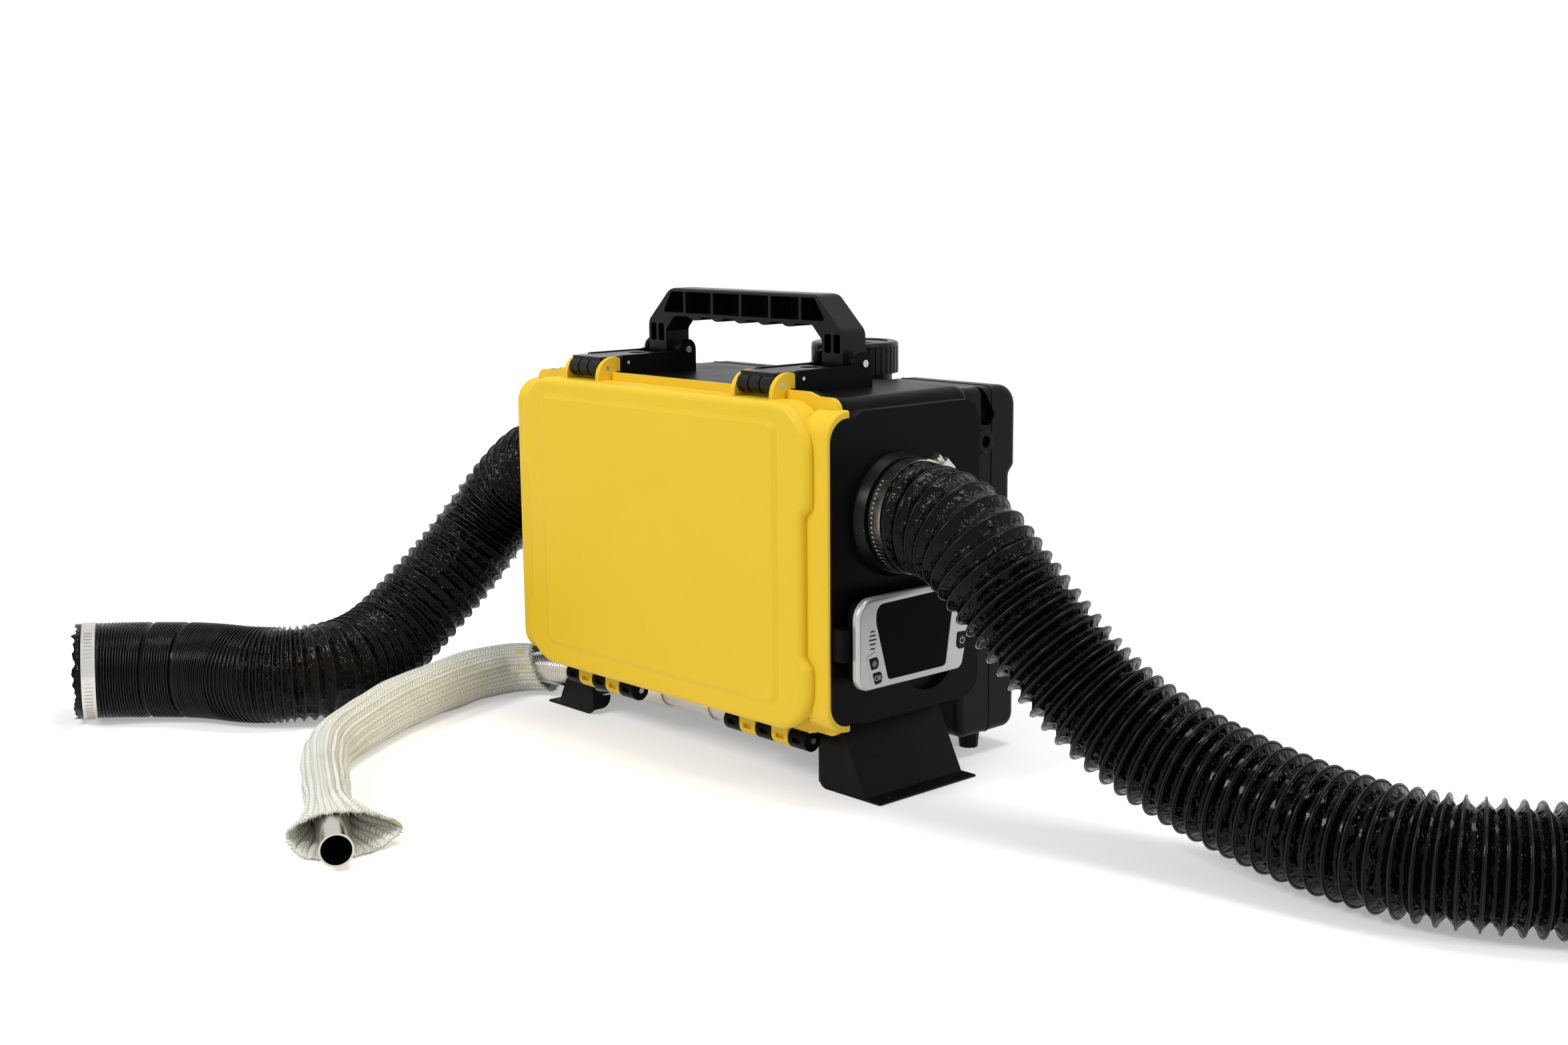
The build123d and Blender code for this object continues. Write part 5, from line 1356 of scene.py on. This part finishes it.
    def build(self, frame: dict, finishes: Finishes, trees: Trees) -> None:
        """Args:
            finishes: The finishes.
            trees: The Geometry Nodes trees.
        """
        line = FLEX_ROUTE.line()
        flex, middles = self.flex(line, finishes.get("flex_steel"))
        pieces = self.sleeve(line, finishes, trees)
        for piece in [flex, *pieces]:
            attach(piece, "case")
        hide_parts("exhaust_flex")
        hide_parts("exhaust_sleeve")
        finishes.dress(frame, "tail_steel", "tail_pipe")
        finishes.dress(frame, "drawn_steel", "exhaust_pipe", "exhaust_strap")
        LOG.info("exhaust: flex %.0f mm with sleeve", line.length / MM)


# ---- rigid pieces -------------------------------------------------------------------------------
@dataclass(frozen=True)
class DressedParts:
    """Pieces that stay as the frame has them and only get their finishes."""

    label: str
    nodes: dict[str, tuple[str, ...]]  # by finish

    def build(self, frame: dict, finishes: Finishes) -> None:
        """Gives the pieces their finishes.

        Args:
            finishes: The finishes.
        """
        for finish, names in self.nodes.items():
            finishes.dress(frame, finish, *names)
        LOG.info("%s: %d finishes", self.label, len(self.nodes))


# Case, lid, latches, handle, feet and clamps.
HARD_CASE = DressedParts("case", {
    "yellow_shell": ("lid_cover",),
    "black_case": ("case_base",),
    "black_handle": ("handle", "latch_left", "latch_right", "outlet_collar", "inlet_collar"),
    "soft_rubber": ("lid_seal", "cable_grommet", "floor_gasket"),
    "pin_steel": ("hinge_pins", "latch_pins", "catch_pins", "handle_pins", "foot_screws"),
    "powder_coat": ("foot_left", "foot_right"),
    "stainless_band": ("clamp_outlet", "clamp_inlet", "clamp_free", "clamp_worm_outlet",
                       "clamp_worm_inlet", "clamp_worm_free"),
})
# The heater inside the case, which shows when the lid is open.
HEATER_UNIT = DressedParts("heater unit", {
    "wheel_plastic": ("heater_lower_shell", "heater_upper_shell", "air_fan", "combustion_rotor",
                      "fuel_filter", "pump_mount"),
    "cast_alloy": ("heat_exchanger", "blower_motor", "fuel_pump"),
    "drawn_steel": ("burner_tube", "blower_shaft", "heater_stand", "intake_pipe"),
    "brass": ("glow_plug",),
    "board_green": ("control_board",),
    "clear_hose": ("fuel_line",),
})


@dataclass
class FuelTank:
    """Blow-moulded tank with its parting line."""

    seam_y: float = 0.0935
    seam_radius: float = 0.0007

    def outline(self, frame: dict) -> np.ndarray:
        """Outermost loop of the tank at its parting plane.


        Returns:
            Points in order round the loop.
        """
        work = bmesh.new()
        work.from_mesh(frame["nodes"]["fuel_tank"].data)
        bmesh.ops.remove_doubles(work, verts=work.verts, dist=1e-6)
        cut = bmesh.ops.bisect_plane(work, geom=work.verts[:] + work.edges[:] + work.faces[:],
                                     plane_co=(0.0, self.seam_y, 0.0), plane_no=(0.0, 1.0, 0.0))
        edges = [part for part in cut["geom_cut"] if isinstance(part, bmesh.types.BMEdge)]
        work.verts.index_update()
        beside: dict[int, list[int]] = {}
        where = {}
        for edge in edges:
            first, second = edge.verts
            beside.setdefault(first.index, []).append(second.index)
            beside.setdefault(second.index, []).append(first.index)
            where[first.index] = first.co.copy()
            where[second.index] = second.co.copy()
        best: list[int] = []
        left = set(beside)
        while left:
            start = left.pop()
            loop = [start]
            here = start
            while True:
                onward = [other for other in beside[here] if other in left]
                if not onward:
                    break
                here = onward[0]
                left.discard(here)
                loop.append(here)
            if self.width(loop, where) > self.width(best, where):
                best = loop
        work.free()
        return np.array([where[index] for index in best], float)

    @staticmethod
    def width(loop: list[int], where: dict[int, Vector]) -> float:
        """Extent of a loop along X.

        Args:
            loop: Vertex indexes.
            where: Place of each vertex.

        Returns:
            The extent, 0 for an empty loop.
        """
        spots = [where[index].x for index in loop]
        return max(spots) - min(spots) if spots else 0.0

    def build(self, frame: dict, finishes: Finishes) -> None:
        """Makes the seam and dresses the tank.

        Args:
            finishes: The finishes.
        """
        finishes.dress(frame, "black_tank", "fuel_tank")
        finishes.dress(frame, "black_cap", "filler_cap")
        finishes.dress(frame, "soft_rubber", "cap_gasket")
        finishes.dress(frame, "pin_steel", "tank_studs")
        loop = self.outline(frame)
        if len(loop) < 8:
            LOG.warning("tank: no seam found")
            return
        ahead = np.roll(loop, -1, axis=0) - np.roll(loop, 1, axis=0)
        ahead /= np.maximum(np.linalg.norm(ahead, axis=1), 1e-9)[:, None]
        side = np.array([0.0, 1.0, 0.0])
        out = np.cross(ahead, side)
        rings = np.zeros((len(loop), 6, 3))
        for step in range(6):
            angle = step * math.pi / 3
            rings[:, step] = loop + self.seam_radius * (out * math.cos(angle) + side * math.sin(angle))
        rings[:, :, 2] = np.maximum(rings[:, :, 2], 0.0)
        seam = link_piece("tank_seam", tidy(ring_mesh("tank_seam", rings, True)), finishes.get("black_tank"))
        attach(seam, "case")
        LOG.info("tank: seam of %d points", len(loop))


@dataclass
class Controller:
    """Controller on the side, with its printed signs."""

    print_thick: float = 0.00015
    text_size: float = 0.0056

    @staticmethod
    def on_face(node: str, finish: bpy.types.Material, name: str, mesh: bpy.types.Mesh) -> None:
        """Puts a flat sign, drawn round its own middle, on the face of a button.

        Args:
            node: The button's node, which is also the name of its body.
            finish: The sign's material.
            name: Name of the sign.
            mesh: The sign's mesh in its own X and Y.
        """
        low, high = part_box(node)
        middle = Vector((high.x, (low.y + high.y) / 2, (low.z + high.z) / 2))
        mesh.transform(Matrix(((0, 0, 1, middle.x), (1, 0, 0, middle.y), (0, 1, 0, middle.z),
                               (0, 0, 0, 1))))
        sign = link_piece(name, tidy(mesh), finish, smooth=False)
        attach(sign, node)

    def plates(self, name: str, shapes: list[list[tuple[float, float]]]) -> bpy.types.Mesh:
        """Thin flat plates from their outlines.

        Args:
            name: Name of the mesh.
            shapes: Outlines in order round each plate.

        Returns:
            The mesh.
        """
        points: list[Point] = []
        faces: list[list[int]] = []
        for shape in shapes:
            start = len(points)
            count = len(shape)
            points += [(x, y, -0.0001) for x, y in shape] + [(x, y, self.print_thick) for x, y in shape]
            faces.append(list(range(start + count, start + 2 * count)))
            faces.append(list(range(start + count - 1, start - 1, -1)))
            for index in range(count):
                after = (index + 1) % count
                faces.append([start + index, start + after, start + count + after, start + count + index])
        mesh = bpy.data.meshes.new(name)
        mesh.from_pydata(points, [], faces)
        return mesh

    @staticmethod
    def band(inner: float, outer: float, start: float, end: float,
             steps: int) -> list[list[tuple[float, float]]]:
        """Pieces of a ring between two angles.

        Args:
            inner: Inner radius.
            outer: Outer radius.
            start: First angle in degrees.
            end: Last angle in degrees.
            steps: Number of pieces.

        Returns:
            Their outlines.
        """
        shapes = []
        for index in range(steps):
            a = math.radians(start + (end - start) * index / steps)
            b = math.radians(start + (end - start) * (index + 1) / steps)
            shapes.append([(radius * math.cos(angle), radius * math.sin(angle))
                           for radius, angle in ((inner, a), (outer, a), (outer, b), (inner, b))])
        return shapes

    def build(self, frame: dict, finishes: Finishes) -> None:
        """Dresses the controller and adds its signs.

        Args:
            finishes: The finishes.
        """
        finishes.dress(frame, "silver_paint", "controller_bezel")
        finishes.dress(frame, "black_case", "controller_shell", "controller_cradle")
        finishes.dress(frame, "screen_glass", "controller_screen")
        finishes.dress(frame, "button_rubber", "button_settings", "button_ok", "button_power")
        ink = finishes.get("button_print")
        teeth = []
        for index in range(10):
            teeth += self.band(0.00185, 0.0024, index * 36 - 8, index * 36 + 8, 1)
        gear = self.plates("sign_settings", self.band(0.0012, 0.0016, 0, 360, 28)
                           + self.band(0.0, 0.0005, 0, 360, 10) + teeth)
        self.on_face("button_settings", ink, "sign_settings", gear)
        bar = [(-0.00035, 0.0006), (0.00035, 0.0006), (0.00035, 0.0034), (-0.00035, 0.0034)]
        power = self.plates("sign_power", self.band(0.0022, 0.0029, 125, 415, 36) + [bar])
        self.on_face("button_power", ink, "sign_power", power)
        curve = bpy.data.curves.new("sign_ok", "FONT")
        curve.body = "OK"
        curve.size = self.text_size
        curve.extrude = self.print_thick
        curve.offset = 0.00005
        curve.align_x = "CENTER"
        curve.align_y = "CENTER"
        text = bpy.data.objects.new("sign_ok_text", curve)
        bpy.context.scene.collection.objects.link(text)
        self.on_face("button_ok", ink, "sign_ok", baked(text))
        LOG.info("controller: three signs")


# ---- studio -------------------------------------------------------------------------------------
@dataclass
class Studio:
    """Pale floor, soft light and the photograph's camera."""

    eye: Point = (1.2152, -1.0932, 0.4677)
    yaw: float = 47.431            # degrees
    pitch: float = 9.7025
    roll: float = -0.00807         # radians
    focal: float = 43.574
    sensor: float = 36.0
    fill: float = 0.36             # strength of the surroundings as light
    lift: float = 0.35             # how much paler the floor looks than it is lit
    reach: float = 12.0            # radius of the floor
    fade: tuple[float, float] = (0.75, 1.5)  # where the floor turns from grey to plain white
    # Name, place, target, side and watts of each lamp.
    lamps: tuple[tuple[str, Point, Point, float, float], ...] = (
        ("key", (-0.4, -2.4, 1.9), (0.0, 0.0, 0.2), 0.8, 40.0),
        ("top", (0.3, 0.2, 2.4), (0.0, 0.0, 0.1), 0.8, 20.0),
        ("side", (2.6, 0.3, 1.5), (0.2, 0.0, 0.2), 0.5, 14.0))

    def camera(self) -> None:
        """Places the camera where the photograph was taken from."""
        yaw = math.radians(self.yaw)
        pitch = math.radians(self.pitch)
        ahead = Vector((-math.sin(yaw) * math.cos(pitch), math.cos(yaw) * math.cos(pitch),
                        -math.sin(pitch)))
        right = Vector((math.cos(yaw), math.sin(yaw), 0.0))
        up = right.cross(ahead)
        side = right * math.cos(self.roll) + up * math.sin(self.roll)
        top = up * math.cos(self.roll) - right * math.sin(self.roll)
        data = bpy.data.cameras.new("photo_camera")
        data.lens = self.focal
        data.sensor_width = self.sensor
        data.sensor_fit = "HORIZONTAL"
        data.clip_start = 0.01
        data.clip_end = 100.0
        camera = bpy.data.objects.new("photo_camera", data)
        rows = [(side[axis], top[axis], -ahead[axis], self.eye[axis]) for axis in range(3)]
        camera.matrix_world = Matrix((*rows, (0, 0, 0, 1)))
        bpy.context.scene.collection.objects.link(camera)
        bpy.context.scene.camera = camera

    def seen(self, graph: Graph) -> bpy.types.NodeSocket:
        """Mask of rays that should find the plain white surroundings.

        Args:
            graph: A material's or the world's graph.

        Returns:
            The mask.
        """
        path = graph.add("ShaderNodeLightPath").outputs
        direct = graph.math("MAXIMUM", path["Is Camera Ray"], path["Is Glossy Ray"])
        return graph.math("MAXIMUM", direct, path["Is Transmission Ray"])

    def surroundings(self) -> None:
        """White surroundings that light the object softly."""
        world = bpy.data.worlds.new("studio")
        bpy.context.scene.world = world
        world.use_nodes = True
        graph = Graph(world.node_tree)
        strength = graph.spread(self.seen(graph), 0.0, 1.0, self.fill, 1.0)
        graph.feed(world.node_tree.nodes["Background"], {"Color": WHITE, "Strength": strength})

    def floor(self) -> None:
        """Plain pale floor that keeps the object's shadow and runs out into white."""
        bpy.ops.mesh.primitive_circle_add(vertices=96, radius=self.reach, fill_type="NGON",
                                          location=(0.0, 0.0, 0.0))
        mesh = bpy.context.object.data.copy()
        bpy.data.objects.remove(bpy.context.object)
        mesh.transform(Matrix.Translation((0.0, 0.0, -0.0002)))
        material = bpy.data.materials.new("pale_floor")
        material.use_nodes = True
        graph = Graph(material.node_tree)
        shader = material.node_tree.nodes["Principled BSDF"]
        seen = self.seen(graph)
        graph.feed(shader, {"Base Color": rgba((0.9, 0.9, 0.9)), "Roughness": 0.9,
                            "Specular IOR Level": 0.0, "Emission Color": WHITE,
                            "Emission Strength": graph.spread(seen, 0.0, 1.0, 0.0, self.lift)})
        place = graph.add("ShaderNodeTexCoord").outputs["Object"]
        away = graph.add("ShaderNodeVectorMath", {0: place}, operation="LENGTH").outputs["Value"]
        far = graph.math("MULTIPLY", graph.spread(away, *self.fade, 0.0, 1.0), seen)
        white = graph.add("ShaderNodeEmission", {"Color": WHITE, "Strength": 1.0})
        mix = graph.add("ShaderNodeMixShader", {0: far, 1: shader.outputs[0], 2: white.outputs[0]})
        graph.feed(material.node_tree.nodes["Material Output"], {"Surface": mix.outputs[0]})
        floor = link_piece("floor", mesh, material, smooth=False)

    def lamp(self, name: str, place: Point, target: Point, size: float, watts: float) -> None:
        """One soft square lamp.

        Args:
            name: Its name.
            place: Where it hangs.
            target: What it points at.
            size: Length of its sides.
            watts: Its power.
        """
        data = bpy.data.lights.new(name, "AREA")
        data.shape = "SQUARE"
        data.size = size
        data.energy = watts
        lamp = bpy.data.objects.new(name, data)
        aim = (Vector(target) - Vector(place)).to_track_quat("-Z", "Y")
        lamp.matrix_world = Matrix.Translation(place) @ aim.to_matrix().to_4x4()
        bpy.context.scene.collection.objects.link(lamp)

    def build(self) -> None:
        """Sets up the whole studio."""
        scene = bpy.context.scene
        scene.view_settings.view_transform = "Standard"
        self.surroundings()
        self.floor()
        for lamp in self.lamps:
            self.lamp(*lamp)
        self.camera()
        LOG.info("studio ready")


def main() -> None:
    """Builds the classes in order."""
    logging.basicConfig(level=logging.INFO, format="%(message)s")
    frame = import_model()
    studio = Studio()
    studio.build()
    finishes = Finishes()
    trees = Trees()
    ducts = (
        FilmDuct("warm_duct_film", "warm_air_duct", WARM_ROUTE, 0.605, seed=3),
        FilmDuct("return_duct_film", "return_air_duct", RETURN_ROUTE, 0.612, packed=0.165,
                 ragged=0.006, clamped_end=True, seed=8, valley=0.0034,
                 extras=["clamp_free", "clamp_worm_free"]))
    for duct in ducts:
        duct.build(frame, finishes, trees)
    ExhaustHose().build(frame, finishes, trees)
    HARD_CASE.build(frame, finishes)
    FuelTank().build(frame, finishes)
    Controller().build(frame, finishes)
    HEATER_UNIT.build(frame, finishes)


if __name__ == "__main__":
    main()
